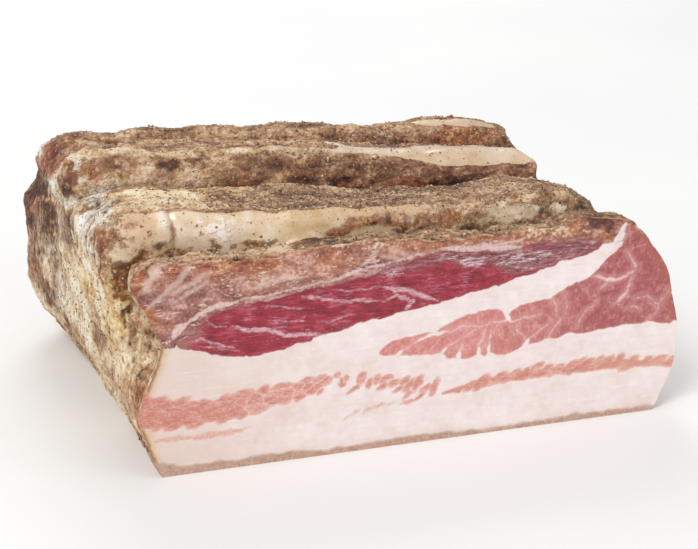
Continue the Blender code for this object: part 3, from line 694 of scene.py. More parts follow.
def crust_relief(points, fields):
    """How far the dried crust stands out at each point, and how deep its pits are."""
    x, y, z = points.T
    rough = 1 - 0.93 * fields["smooth"]
    wall = fields["wall"]
    drawn = np.stack([x / 7, y, z], 1)
    layers = np.stack([x, y, (z + 0.3 * y) / 2.4], 1)
    lumps = 0.55 * layered(points, 6, SEED, 2)
    crags = (1 - wall) * 0.2 * (0.5 - np.abs(layered(points, 3.2, SEED + 3, 2)) * 2)
    crags = crags + wall * 0.45 * (0.5 - np.abs(layered(layers, 2.6, SEED + 4, 2)) * 2)
    ledges = 0.6 * (0.5 - np.abs(layered(drawn, 3.2, SEED + 6, 2)) * 2) * fields["up"]
    wrinkles = 0.3 * layered(drawn, 1.7, SEED + 8, 2)
    grain = 0.14 * layered(points, 1.3, SEED + 9, 2)
    near, _, number = cells(bent(points, 3, 1.0, SEED + 15), 1.7, SEED + 12)
    crumbs = 0.3 * smoothstep(0.6 - near, 0, 0.4) * (number > 0.6) * (1 - 0.6 * wall)
    hole, _, which = cells(bent(layers, 3, 0.8, SEED + 25), 1.6, SEED + 20)
    pit = smoothstep(0.4 - hole, 0, 0.22) * (which > 0.66 - 0.2 * fields["cream"]) * wall
    pit = pit * (1 - 0.7 * fields["grey"]) * smoothstep(z, 6, 12)
    swell = 1.1 * np.maximum(fields["wet"], 0.6 * fields["rust"]) * (0.3 + layered(points, 3.2, SEED + 28, 2))
    folds = 0.5 * layered(np.stack([x, y / 2, z / 2], 1), 7, SEED + 30, 2) + 0.08 * layered(points, 2.2, SEED + 33, 2)
    crease = -0.9 * np.exp(-((x - 6.4 + 0.1 * (z - 64)) / 0.9) ** 2) * between(y, 9, 17, 1) * smoothstep(z, 58, 60)
    relief = rough * (lumps + crags + ledges + wrinkles + grain + crumbs - 0.8 * pit) + (1 - rough) * folds + crease
    for middle, radii, out in PUSHES:
        reach = np.linalg.norm((points - middle) / radii, axis=1)
        relief = relief + out * (1 - smoothstep(reach, 0, 1.3))
    return relief + swell, pit


def sliced(data, spot, normal):
    """Everything behind a plane, with the mesh's fields kept."""
    work = bmesh.new()
    work.from_mesh(data)
    geometry = work.verts[:] + work.edges[:] + work.faces[:]
    bmesh.ops.bisect_plane(work, geom=geometry, plane_co=spot, plane_no=normal, clear_outer=True)
    return mesh_of(work, data.name)


def edge_loop(data, axis, value):
    """The open edge that lies on a plane, in order, as sketch points, closed by a straight run."""
    points = mesh_points(data)
    edges = mesh_edges(data)
    used = np.zeros(len(data.edges), int)
    np.add.at(used, read(data.loops, "edge_index", 1, np.int32), 1)
    level = np.abs(points[:, axis] - value) < 1e-3
    rim = [tuple(e) for e, n in zip(edges, used) if n == 1 and level[e[0]] and level[e[1]]]
    beside = {}
    for a, b in rim:
        beside.setdefault(a, []).append(b)
        beside.setdefault(b, []).append(a)
    chains, left = [], set(beside)
    while left:
        ends = [n for n in left if len(beside[n]) == 1]
        at = min(ends or left)
        chain = [at]
        left.discard(at)
        while True:
            ahead = [n for n in beside[at] if n in left]
            if not ahead:
                break
            at = ahead[0]
            left.discard(at)
            chain.append(at)
        chains.append(chain)
    chain = points[max(chains, key=len)]
    gap = np.linalg.norm(chain[0] - chain[-1])
    share = np.linspace(0, 1, int(gap / FACE_SPACING) + 2)[1:-1, None]
    return np.concatenate([chain, chain[-1] + (chain[0] - chain[-1]) * share])


def filled_outline(loop, spacing, seed):
    """Triangles that fill a flat outline evenly, as 2D points and faces."""
    low, high = loop.min(0), loop.max(0)
    random = np.random.default_rng(seed)
    rows = np.arange(low[1], high[1], spacing * 0.87)
    grid = [(u + (spacing / 2 if i % 2 else 0), v) for i, v in enumerate(rows)
            for u in np.arange(low[0], high[0], spacing)]
    grid = np.array(grid) + random.uniform(-0.16, 0.16, (len(grid), 2)) * spacing
    depth = inside(grid[:, 0], grid[:, 1], loop)
    grid = grid[depth > spacing * 0.45]
    points = np.concatenate([loop, grid])
    count = len(loop)
    rim = [(i, (i + 1) % count) for i in range(count)]
    verts, _, faces, *_ = delaunay_2d_cdt([Vector(p) for p in points], rim, [], 1, 1e-6)
    return np.array([tuple(v) for v in verts]), [tuple(f) for f in faces]


def mesh_from(name, points, faces):
    data = bpy.data.meshes.new(name)
    data.from_pydata([tuple(p) for p in place(points)], [], faces)
    data.update()
    return data


def part_of(data, name, keep):
    """The faces marked in keep, as a mesh of their own with the same fields."""
    work = bmesh.new()
    work.from_mesh(data)
    work.faces.ensure_lookup_table()
    gone = [work.faces[i] for i in np.flatnonzero(~keep)]
    bmesh.ops.delete(work, geom=gone, context="FACES")
    return mesh_of(work, name)


# The cut face


def strokes(x, z, lines):
    """How far inside the nearest of the given strokes each point lies; the strokes taper to their ends."""
    best = np.full(len(x), -9.0)
    for half, line in lines:
        line = np.array(line, float)
        lengths = np.hypot(*np.diff(line, axis=0).T)
        run = 0.0
        for (ax, az), (bx, bz), length in zip(line, line[1:], lengths):
            ex, ez = bx - ax, bz - az
            share = np.clip(((x - ax) * ex + (z - az) * ez) / length ** 2, 0, 1)
            away = np.hypot(x - ax - share * ex, z - az - share * ez)
            whole = (run + share * length) / lengths.sum()
            best = np.maximum(best, half * (1 - 0.75 * (2 * whole - 1) ** 4) - away)
            run += length
    return best


def lobe_row(streak, rows, pitch, half_width, lean, seed):
    """Lobes that fill a streak given as rows of X, lower and upper height, and overlap a little."""
    random = np.random.default_rng(seed)
    table = np.array(streak, float)
    made = []
    for row in range(rows):
        at = table[0, 0] + random.uniform(0, pitch)
        while at < table[-1, 0]:
            low, high = (np.interp(at, table[:, 0], table[:, i]) for i in (1, 2))
            tall = (high - low) / rows
            size = random.uniform(0.75, 1.35)
            steep = lean + random.uniform(-14, 14)
            reach = 0.62 * tall / max(math.sin(math.radians(steep)), 0.3)
            middle = low + tall * (row + 0.5) + random.uniform(-0.22, 0.22) * tall
            made.append((at, middle, min(half_width * 2.6, reach) * size, half_width * size ** 0.5, steep))
            at += pitch * size * random.uniform(0.8, 1.2)
    return made


def lobes(x, z, rows):
    """Depth inside the nearest lobe, how far that is ahead of the next one, and a shade for it."""
    first, second, shade = np.full(len(x), -9.0), np.full(len(x), -9.0), np.zeros(len(x))
    for number, (cx, cz, length, width, lean) in enumerate(rows):
        turn = math.radians(lean)
        along_lobe = (x - cx) * math.cos(turn) + (z - cz) * math.sin(turn)
        across_lobe = (z - cz) * math.cos(turn) - (x - cx) * math.sin(turn)
        depth = width * (1 - np.hypot(along_lobe / length, across_lobe / width))
        nearer = depth > first
        second = np.where(nearer, first, np.maximum(second, depth))
        shade = np.where(nearer, number * 0.618 % 1, shade)
        first = np.maximum(first, depth)
    return first, first - second, shade


def face_fields(x, z):
    points = bent(np.stack([x, np.zeros_like(x), z], 1), 2.8, 0.7, SEED + 60)
    x, z = points[:, 0], points[:, 2]
    wander = 0.3 * layered(points, 3.0, SEED + 65, 2)
    rows = lobe_row(RIGHT_STREAK, 1, 3.6, 1.2, 28, SEED + 61) + lobe_row(LEFT_STREAK, 5, 5.2, 1.05, 20, SEED + 62)
    streak, gap, shade = lobes(x, z, rows + MIDDLE_LOBES)
    low, high = (along(x, [(row[0], row[i]) for row in LEFT_STREAK]) for i in (1, 2))
    solid = np.minimum(z - low, high - z) - 0.4 + wander - 3 * smoothstep(x, 40, 48)
    gap = gap + smoothstep(25 - x, 0, 20)
    streak = np.maximum(streak, solid)
    strand = strokes(x, z, [RIGHT_STRAND])
    faint, _, _ = lobes(x, z, FAINT_LOBES)
    west = smoothstep(4.5 - x + 0.3 * (z - 38), 0, 1) * smoothstep(z, 36.5, 37.5)
    vein = strokes(x, z, VEINS)
    muscle = inside(x, z, rounded(RIGHT_LEAN, 1))
    cleft = vein - 0.7 + 0.95 * (1 - smoothstep(muscle, 0.6, 3.2)) * (1 - smoothstep(x, 104, 112))
    return {
        "dark_lean": inside(x, z, rounded(DARK_LEAN)) + wander,
        "purple_lean": inside(x, z, PURPLE_LEAN) + 2 * wander,
        "right_lean": np.minimum(muscle, -cleft),
        "vein": vein,
        "marbling": strokes(x, z, MARBLING),
        "pale": strokes(x, z, PALE_LINES),
        "fascia": strokes(x, z, FASCIA),
        "streak": np.maximum(streak, strand),
        "gap": np.where(strand > streak, np.maximum(gap, strand - streak), gap), "shade": shade,
        "faint": np.maximum(faint, strokes(x, z, [LEFT_STRAND]) + wander),
        "upper_lean": np.maximum(z - along(x, DARK_TOP), np.where(west > 0.5, 1.5, -9)) + wander,
        "skin": along(x, SKIN_TOP) - z + 0.15 * wander,
        "neck": strokes(x, z, [FAT_NECK]),
        "across": x / 100,
    } | {kind: patches(points, kind, {"face": 1.0}) for kind in PATCHES["face"]}


def face_relief(x, z, fields, rim):
    """How far the cut face lies behind its plane."""
    points = np.stack([x, np.zeros_like(x), z], 1)
    fibres = np.stack([x / 5 + z / 9, np.zeros_like(x), z + 0.15 * x], 1)
    lean = np.maximum.reduce([fields["dark_lean"], fields["right_lean"], fields["streak"]])
    upper = smoothstep(fields["upper_lean"], 0, 1.5)
    dark = smoothstep(fields["dark_lean"], -0.3, 0.8)
    depth = 0.30 + 0.18 * layered(points, 16, SEED + 70, 2)
    depth = depth + 0.12 * smoothstep(lean, -0.4, 0.5)
    depth = depth + 0.16 * dark * layered(fibres, 1.6, SEED + 73, 2)
    depth = depth + upper * (0.15 + 0.35 * layered(points, 3.4, SEED + 76, 2))
    depth = depth + 1.2 * fields["maroon"] + 0.15 * fields["milky"]
    depth = depth + 0.03 * layered(points, 1.4, SEED + 79, 2)
    return np.clip(depth, 0.02, 1.5) * smoothstep(rim, 0, 1.2)


def make_cut_face(body):
    loop = edge_loop(body, 1, 0.0)[:, [0, 2]]
    flat, faces = filled_outline(loop, FACE_SPACING, SEED)
    x, z = flat.T
    rim = np.abs(inside(x, z, loop))
    rim[: len(loop)] = 0
    fields = face_fields(x, z)
    fields["rim"] = rim
    depth = face_relief(x, z, fields, rim)
    data = mesh_from("cut_face", np.stack([x, depth, z], 1), faces)
    for name, values in fields.items():
        set_field(data, name, values)
    face_out(data, Vector((0, -1, 0)))
    return data


def face_out(data, way):
    """Turns a flat sheet's faces to look along way."""
    if sum((p.normal * p.area for p in data.polygons), Vector()).dot(way) < 0:
        data.flip_normals()


def make_underside(body):
    loop = edge_loop(body, 2, 0.0)[:, :2]
    flat, faces = filled_outline(loop, 1.6, SEED + 1)
    x, y = flat.T
    rim = np.abs(inside(x, y, loop))
    points = np.stack([x, y, np.zeros_like(x)], 1)
    rise = (0.12 + 0.1 * layered(points, 8, SEED + 80, 3)) * smoothstep(rim, 0.5, 3)
    data = mesh_from("underside", np.stack([x, y, np.clip(rise, 0, 1)], 1), faces)
    face_out(data, Vector((0, 0, -1)))
    return data


# Ground pepper and crumbs


def scattered(data, weight, count, seed):
    """Random spots on a mesh, more of them where weight is high: places, normals and the draws."""
    random = np.random.default_rng(seed)
    chance = read(data.polygons, "area") * weight
    chosen = random.choice(len(chance), count, p=chance / chance.sum())
    normal = read(data.polygons, "normal", 3)[chosen]
    spots = face_centres(data)[chosen]
    jitter = random.normal(0, 0.25, spots.shape)
    jitter -= (jitter * normal).sum(1, keepdims=True) * normal
    return spots + jitter, normal, random


def grains(name, spots, normals, sizes, sink, random):
    """Small broken pieces, each an icosahedron squashed and turned its own way, half sunk in the crust."""
    work = bmesh.new()
    bmesh.ops.create_icosphere(work, subdivisions=1, radius=1)
    shape = np.array([v.co for v in work.verts])
    faces = np.array([[v.index for v in f.verts] for f in work.faces])
    work.free()
    count = len(spots)
    broken = shape[None] * random.uniform(0.72, 1.2, (count, len(shape), 1))
    stretch = np.stack([random.uniform(0.7, 1.25, count), random.uniform(0.6, 1, count), np.full(count, FLATNESS)], 1)
    broken = broken * stretch[:, None]
    helper = np.where(np.abs(normals[:, :1]) < 0.7, [[1.0, 0, 0]], [[0, 1.0, 0]])
    side = np.cross(normals, helper)
    side /= np.linalg.norm(side, axis=1, keepdims=True)
    other = np.cross(normals, side)
    turn = random.uniform(0, 2 * np.pi, (count, 1))
    first = side * np.cos(turn) + other * np.sin(turn)
    basis = np.stack([first, np.cross(normals, first), normals], 1)
    points = np.einsum("nvi,nij->nvj", broken, basis) * sizes[:, None, None]
    points += (spots + normals * (sizes * FLATNESS * (1 - sink))[:, None])[:, None]
    index = faces[None] + (np.arange(count) * len(shape))[:, None, None]
    points = points.reshape(-1, 3)
    points[:, 2] = np.maximum(points[:, 2], LEAST_HEIGHT)
    return mesh_from(name, np.clip(points, LOW, HIGH), index.reshape(-1, 3).tolist())


# Materials


def paint(red, green, blue):
    """A colour as a screen shows it, from 0 to 255, in the shader's linear terms."""
    linear = [c / 255 / 12.92 if c < 10.3 else ((c / 255 + 0.055) / 1.055) ** 2.4 for c in (red, green, blue)]
    return (*linear, 1.0)


class Value:
    """A node's output, which adds, subtracts and multiplies like a number."""

    def __init__(self, shader, socket):
        self.shader = shader
        self.socket = socket

    def __add__(self, other):
        return self.shader.math("ADD", self, other)

    def __sub__(self, number):
        return self.shader.math("ADD", self, -number)

    def __mul__(self, other):
        return self.shader.math("MULTIPLY", self, other)

    def step(self, low, high, bottom=0.0, top=1.0):
        """A smooth run from bottom to top while this value runs from low to high."""
        inputs = {"Value": self, "From Min": low, "From Max": high, "To Min": bottom, "To Max": top}
        return self.shader.node("ShaderNodeMapRange", "Result", inputs, interpolation_type="SMOOTHSTEP")


class Shader:
    """A node material in the making. Sizes are millimetres of the slab, colours as a screen shows them."""

    def __init__(self, name):
        self.material = bpy.data.materials.new(name)
        self.material.use_nodes = True
        self.tree = self.material.node_tree
        self.spot = self.vector("SCALE", self.node("ShaderNodeTexCoord", "Object"), scale=1 / MM)

    def node(self, kind, output, inputs=None, **settings):
        """The named output of a new node."""
        made = self.tree.nodes.new(kind)
        for name, value in settings.items():
            setattr(made, name, value)
        for name, value in (inputs or {}).items():
            if value is not None:
                self.feed(made.inputs[name], value)
        return Value(self, made.outputs[output])

    def feed(self, socket, value):
        if isinstance(value, Value):
            self.tree.links.new(value.socket, socket)
        elif socket.type == "RGBA":
            socket.default_value = paint(*value)
        else:
            socket.default_value = value

    def vector(self, operation, first, second=None, scale=None):
        inputs = {0: first, 1: second, "Scale": scale}
        return self.node("ShaderNodeVectorMath", 0, inputs, operation=operation)

    def math(self, operation, first, second=None):
        return self.node("ShaderNodeMath", 0, {0: first, 1: second}, operation=operation)

    def larger(self, first, second):
        return self.math("MAXIMUM", first, second)

    def field(self, name):
        return self.node("ShaderNodeAttribute", "Fac", attribute_name=name)

    def cover(self, name, low=0.2, high=0.8, reach=1.0, most=1.0):
        """Share of a look, from its field and the material's own noise along its border."""
        return (self.field(name) + self.nudge * reach).step(low, high, 0, most)

    def stretched(self, factors, turn=(0, 0, 0)):
        """Coordinates stretched by the given factors along the turned axes."""
        inputs = {"Vector": self.spot, "Rotation": turn, "Scale": [1 / f for f in factors]}
        return self.node("ShaderNodeMapping", "Vector", inputs)

    def shaken(self, size, reach):
        """Coordinates pushed about by noise, which takes the regularity out of a pattern."""
        drift = self.node("ShaderNodeTexNoise", "Color", {"Vector": self.spot, "Scale": 1 / size, "Detail": 2.0})
        push = self.vector("SUBTRACT", drift, (0.5, 0.5, 0.5))
        return self.vector("ADD", self.spot, self.vector("SCALE", push, scale=2 * reach))

    def noise(self, size, detail, rough, twist=0.0, spot=None):
        inputs = {"Vector": spot or self.spot, "Scale": 1 / size, "Detail": detail, "Roughness": rough,
                  "Distortion": twist}
        return self.node("ShaderNodeTexNoise", "Fac", inputs)

    def cells(self, size, spot=None, output="Distance", feature="F1"):
        inputs = {"Vector": spot or self.spot, "Scale": 1 / size}
        return self.node("ShaderNodeTexVoronoi", output, inputs, feature=feature)

    def marks(self, size, radius, rarity, spot=None, wobble=0.0):
        """Small round marks in some of the cells of a pattern."""
        pick = self.node("ShaderNodeSeparateColor", 0, {"Color": self.cells(size, spot, "Color")})
        away = self.cells(size, spot) + wobble
        return away.step(radius, radius + 0.1, 1, 0) * pick.step(rarity, rarity + 0.02)

    def layers(self, base, *coats):
        """A colour with others laid over it, each with its share."""
        for share, colour in coats:
            base = self.node("ShaderNodeMix", 2, {"Factor": share, 6: base, 7: colour}, data_type="RGBA")
        return base

    def ramp(self, value, stops):
        """Colours along a value, from the colour at each stop."""
        made = self.node("ShaderNodeValToRGB", "Color", {"Fac": value})
        points = made.socket.node.color_ramp.elements
        while len(points) < len(stops):
            points.new(0.5)
        for point, (position, colour) in zip(points, stops.items()):
            point.position = position
            point.color = paint(*colour)
        return made

    def bump(self, height, distance, strength):
        inputs = {"Height": height, "Distance": distance * MM, "Strength": strength}
        return self.node("ShaderNodeBump", "Normal", inputs)

    def finish(self, colour, roughness, normal, **others):
        inputs = {"Base Color": colour, "Roughness": roughness, "Normal": normal}
        inputs |= {name.replace("_", " "): value for name, value in others.items()}
        for name, value in inputs.items():
            self.feed(self.tree.nodes["Principled BSDF"].inputs[name], value)
        return self.material


class FaceShader(Shader):
    """The cut face's material, with the noises and distances that its looks share."""

    def __init__(self):
        super().__init__("cut_face")
        self.fine = self.noise(0.8, 4, 0.65)
        self.tiny = self.noise(0.4, 2, 0.6)
        self.mid = self.noise(2.2, 3, 0.6)
        self.broad = self.noise(10, 3, 0.5)
        self.nudge = (self.noise(1.1, 2, 0.5) - 0.5) * 0.8 + (self.fine - 0.5) * 0.35
        self.across = self.field("across") + (self.broad - 0.5) * 0.35
        self.edge = self.field("rim") + (self.noise(4, 2, 0.5) - 0.5) * 3

    def drawn(self, size, detail, rough, twist, along, up, slope):
        """Noise drawn out along the cut and up it, with its axes leaning by slope."""
        return self.noise(size, detail, rough, twist, self.stretched((along, 1, up), (0, slope, 0)))


def fat_look(s):
    """Fat with faint lines along its bands, warmer towards the slab's left side: its colour and its lines."""
    lines = s.drawn(1, 4, 0.6, 0.4, along=9, up=0.8, slope=0.16)
    left = s.field("across").step(0.02, 0.1, 1, 0)
    fat = s.layers(
        s.ramp(s.broad * 0.6 + s.mid * 0.4, {0.3: (232, 210, 204), 0.5: (240, 225, 222), 0.7: (247, 237, 235)}),
        (s.across.step(-0.1, 0.6, 0.8, 0), (224, 202, 190)),
        (lines.step(0.52, 0.7, 0, 0.2), (226, 196, 192)),
        ((lines * 0.6 + s.tiny * 0.4).step(0.34, 0.45, 0.35, 0), (252, 246, 244)),
        (left * s.edge.step(0.5, 3.5, 0.75, 0), (220, 184, 136)),
        (left * (s.field("rim") + s.nudge).step(0.2, 1.2, 0.85, 0), (158, 104, 58)),
    )
    return fat, lines


def streak_look(s):
    """Lobes of the thin streaks, with soft pale borders and threads of fat: their colour and their seams."""
    strands = s.drawn(0.7, 3, 0.6, 0.4, along=5, up=1, slope=-0.2)
    threads = s.math("ABSOLUTE", s.drawn(1, 3, 0.6, 1.0, along=3.4, up=0.8, slope=-0.3) - 0.5)
    threads = threads.step(0, 0.035, 0.6, 0) * s.field("across").step(0.2, 0.45, 1, 0.35)
    seam = (s.field("gap") + s.nudge * 0.5).step(0.0, 0.45, 1, 0) * s.across.step(-0.05, 0.4, 0.35, 0.8)
    seam = s.larger(seam, threads)
    pink = s.layers(
        s.ramp(s.field("shade") * 0.12 + strands * 0.5 + s.fine * 0.4,
               {0.36: (198, 122, 106), 0.5: (211, 142, 128), 0.66: (230, 180, 168)}),
        (s.field("across").step(0.0, 0.3, 0.6, 0), (198, 118, 98)),
        (s.field("across").step(1.1, 1.45, 0, 0.5), (214, 154, 130)),
        (s.field("streak").step(0, 0.9, 0.4, 0), (236, 196, 186)),
        (seam, (236, 202, 192)),
    )
    return pink, seam


def muscle_look(s):
    """The large muscle, paler to its left and browned at the slab's side: its colour and its fibres."""
    fibre = s.drawn(1.0, 4, 0.7, 0, along=0.7, up=1.3, slope=-0.5)
    mottle = fibre * 0.5 + s.mid * 0.3 + s.tiny * 0.2
    net = s.cells(3.6, s.stretched((1.7, 1, 1), (0, -0.7, 0)), feature="DISTANCE_TO_EDGE") + s.nudge * 0.12
    rose = s.layers(
        s.ramp(mottle, {0.32: (192, 106, 100), 0.5: (212, 134, 127), 0.66: (233, 176, 168)}),
        (s.across.step(0.85, 1.25),
         s.ramp(mottle, {0.32: (146, 66, 68), 0.5: (172, 90, 90), 0.68: (204, 138, 134)})),
        (s.edge.step(0, 3.5, 0.6, 0) * s.across.step(1.15, 1.4), (176, 96, 76)),
        (s.field("vein").step(-1.8, 0, 0, 0.3), (226, 170, 164)),
        (s.cover("vein", -0.05, 0.4, 0.6) * s.mid.step(0.38, 0.58, 0.4, 0.85), (236, 198, 194)),
        (net.step(-0.02, 0.08, 0.35, 0) * s.mid.step(0.45, 0.6), (228, 180, 174)),
        (s.field("right_lean").step(0, 0.8, 0.35, 0), (226, 168, 158)),
    )
    return rose, fibre


def dark_look(s):
    """The dark wet muscle, its white marbling, and the sheen and glints painted on its fibres: its colour and its
    sheen.
    """
    grain = s.drawn(1, 4, 0.7, 0.6, along=5, up=0.8, slope=0.16)
    sheen = s.drawn(1, 5, 0.75, 0.8, along=3, up=0.55, slope=0.16)
    painted_sheen = sheen + s.field("glint") * 0.1 + (s.noise(6, 2, 0.5) - 0.5) * 0.5
    # The purple lean's own mauve, with its lightest stops painted highlight lines on the wrinkles.
    dull = s.ramp(sheen, {0.34: (76, 34, 40), 0.44: (126, 70, 74), 0.54: (160, 104, 104),
                          0.62: (200, 158, 162), 0.72: (234, 212, 220)})
    crimson = s.layers(
        s.ramp(grain * 0.6 + s.noise(4, 3, 0.6) * 0.4,
               {0.36: (112, 10, 30), 0.46: (146, 24, 46), 0.54: (166, 36, 58), 0.64: (192, 82, 100)}),
        # Painted lavender sheen along the fibres.
        (painted_sheen.step(0.56, 0.68, 0, 0.6), (216, 140, 168)),
        (s.cover("purple_lean", -1.5, 1.5, 4, 0.9), dull),
        # Painted white glints in the glint patches.
        (s.cover("glint", 0.2, 0.9) * sheen.step(0.46, 0.58, 0, 0.8), (240, 220, 226)),
        (s.cover("marbling", -0.15, 0.55, 1.1) * sheen.step(0.4, 0.58, 0.3, 0.9), (234, 196, 202)),
        (s.field("dark_lean").step(0, 1.2, 0.4, 0), (172, 74, 80)),
        (s.cover("brown", most=0.8), (170, 112, 98)),
    )
    return crimson, sheen


def dried_look(s):
    """The layer under the crust, mauve below and orange brown above, flecked with painted white glints: colour and
    relief.
    """
    dry = s.drawn(2.6, 3, 0.6, 0.3, along=1.8, up=1, slope=-0.5) * 0.65 + s.fine * 0.45
    curls = s.drawn(1.1, 2, 0.6, 1.6, along=3, up=1, slope=-0.5)
    # Painted glints: small white flecks along the curls.
    painted_glints = (curls + s.field("glint") * 0.08).step(0.57, 0.67) * s.mid.step(0.42, 0.6, 0.1, 0.75)
    mauve = s.ramp(dry, {0.42: (116, 64, 60), 0.54: (156, 102, 94), 0.68: (202, 160, 152)})
    rosy = s.ramp(dry, {0.42: (146, 84, 66), 0.54: (188, 126, 104), 0.7: (230, 190, 176)})
    orange = s.ramp(dry, {0.42: (120, 56, 26), 0.5: (160, 88, 48), 0.6: (186, 118, 72), 0.7: (220, 170, 126)})
    brown = s.layers(
        s.ramp(dry, {0.42: (114, 58, 40), 0.52: (155, 95, 74), 0.6: (178, 122, 100), 0.7: (216, 174, 154)}),
        ((s.field("upper_lean") + (s.broad - 0.5) * 9).step(1, 5, 0.8, 0), mauve),
        (s.cover("mauve", 0, 1, most=0.8), mauve),
        (s.cover("rosy", 0, 1, most=0.8), rosy),
        (s.cover("orange", 0, 1, most=0.8), orange),
        (s.cover("milky", 0, 1, most=0.8), (218, 190, 170)),
        (s.cover("pale", -1.0, 0.5, 1.1, 0.6), (226, 196, 182)),
        (painted_glints, (236, 212, 208)),
        (s.cover("maroon", reach=1.2, most=0.9), s.ramp(s.fine, {0.4: (60, 26, 20), 0.6: (124, 66, 52)})),
    )
    return brown, curls + dry


def face_material():
    """Fresh cut belly: fat, lean in three reds, the dried layer above them and the skin's edge below."""
    s = FaceShader()
    fat, lines = fat_look(s)
    pink, seam = streak_look(s)
    rose, fibre = muscle_look(s)
    crimson, sheen = dark_look(s)
    brown, curled = dried_look(s)
    faint = s.cover("faint", -0.3, 0.5, 1.1) * s.fine.step(0.35, 0.6, 0.35, 0.8)
    streak = s.cover("streak", -0.3, 0.3, 0.7)
    upper = s.cover("upper_lean", -0.1, 0.4, 0.6)
    dark = s.cover("dark_lean", -0.15, 0.3, 0.5)
    right = s.cover("right_lean", -0.2, 0.3, 0.45)

    # Crust caught in the upper edge.
    crumb = (s.mid - 0.5) * 1.8 + (s.fine - 0.5) * 1.2 + 0.5
    flaky = s.ramp(crumb, {0.15: (110, 66, 42), 0.38: (180, 126, 88), 0.55: (220, 180, 142), 0.8: (244, 226, 204)})
    rim = s.field("rim") + s.nudge * 2.2
    top_edge = s.larger(upper * rim.step(0.1, 0.9, 0.8, 0), upper * s.cover("cream", 0.3, 0.9, 1.6, 0.9))

    colour = s.layers(
        fat,
        (faint, (218, 158, 138)),
        (streak, pink),
        (upper, brown),
        (dark, crimson),
        (s.cover("fascia", -0.2, 0.5, 0.8, 0.85), s.ramp(s.fine, {0.3: (210, 168, 162), 0.6: (234, 208, 203)})),
        (s.cover("neck", -0.2, 0.3, 0.4), fat),
        (right, rose),
        (top_edge, flaky),
        (rim.step(-0.8, 0.6, 0.4, 0) * s.mid.step(0.4, 0.6), (196, 140, 98)),
        (s.cover("skin", -2.0, 0.3, 0.3, 0.3), (222, 202, 192)),
        (s.cover("skin", -0.2, 1.1, 0.5), s.ramp(s.fine * 0.6 + s.mid * 0.4, {
            0.34: (170, 128, 106), 0.5: (190, 154, 134), 0.7: (208, 178, 160)})),
    )
    wet = s.larger(dark, right * 0.6)
    rough = s.fine.step(0.3, 0.7, 0.36, 0.5) + wet * -0.1 + top_edge * 0.3
    height = sheen * dark * 0.9 + s.fine * 0.2 + lines * 0.15 + curled * upper * 0.8
    height += (streak * (seam * -0.6 + 1) + right) * -0.1 + fibre * right * 0.3 + crumb * top_edge * 0.8
    return s.finish(colour, rough, s.bump(height, 0.45, 0.8), Subsurface_Weight=0.08, Subsurface_Scale=0.0012,
                    Subsurface_Radius=(1.0, 0.45, 0.3), Coat_Weight=0.15, Coat_Roughness=0.22)


class CrustShader(Shader):
    """The crust's material, with the noises that its looks share."""

    def __init__(self):
        super().__init__("spiced_crust")
        self.fine = self.noise(0.45, 3, 0.65)
        self.mid = self.noise(1.5, 4, 0.6, 0.5)
        self.lump = self.noise(4.5, 3, 0.55, 0.6)
        self.broad = self.noise(11, 3, 0.55)
        self.drawn = self.noise(1.2, 4, 0.62, 0.4, self.stretched((7, 1, 1)))
        self.sheets = self.noise(1.3, 4, 0.6, 0.6, self.stretched((1, 1, 2.6), (0.3, 0, 0)))
        self.nudge = (self.mid - 0.5) * 0.9 + (self.fine - 0.5) * 0.6
        self.height, self.up, self.wall = (self.field(name) for name in ("height", "up", "wall"))

    def patch(self, name, value, gap, low, high, top, most=0.9, reach=1.4):
        """A patch's share, and its colours from the gaps at the low end of a value to the crumbs at the top; the gap
        colours are partly painted shade.
        """
        stops = {0.15 + 0.7 * i / 3: colour for i, colour in enumerate((gap, low, high, top))}
        return self.cover(name, reach=reach, most=most), self.ramp(value, stops)


def crust_grain(s):
    """Relief of the crumbs, and one value that carries it through all the colours, from gaps to crumbs. The value
    sinks in the gaps between crumbs and in the relief's low places, which paints shade there; the rest of it is the
    crust's own tone.
    """
    grain = (s.cells(1.4, s.shaken(1.3, 0.8)) - 0.5) * -0.4 + (s.cells(0.7, s.shaken(0.8, 0.4)) - 0.5) * -0.3
    grain = grain * s.lump.step(0.38, 0.6, 0.45, 1.1) * s.wall.step(0, 1, 1, 0.6)
    # The crumb gaps and the relief's height darken the colour: painted shade in low places.
    crisp = grain + 0.5 + (s.mid - 0.5) * 0.8 + (s.fine - 0.5) * 0.4 + (s.lump - 0.5) * 0.7 + s.height * 0.22
    crisp += (s.broad - 0.5) * s.wall.step(0, 1, 0.8, 1.4) + (s.drawn - 0.5) * s.up.step(0, 1, 0.3, 0.6)
    crisp += (s.sheets - 0.5) * s.wall * 1.2 + s.field("light") * 0.3 + s.cover("dark") * -0.3
    return grain, crisp


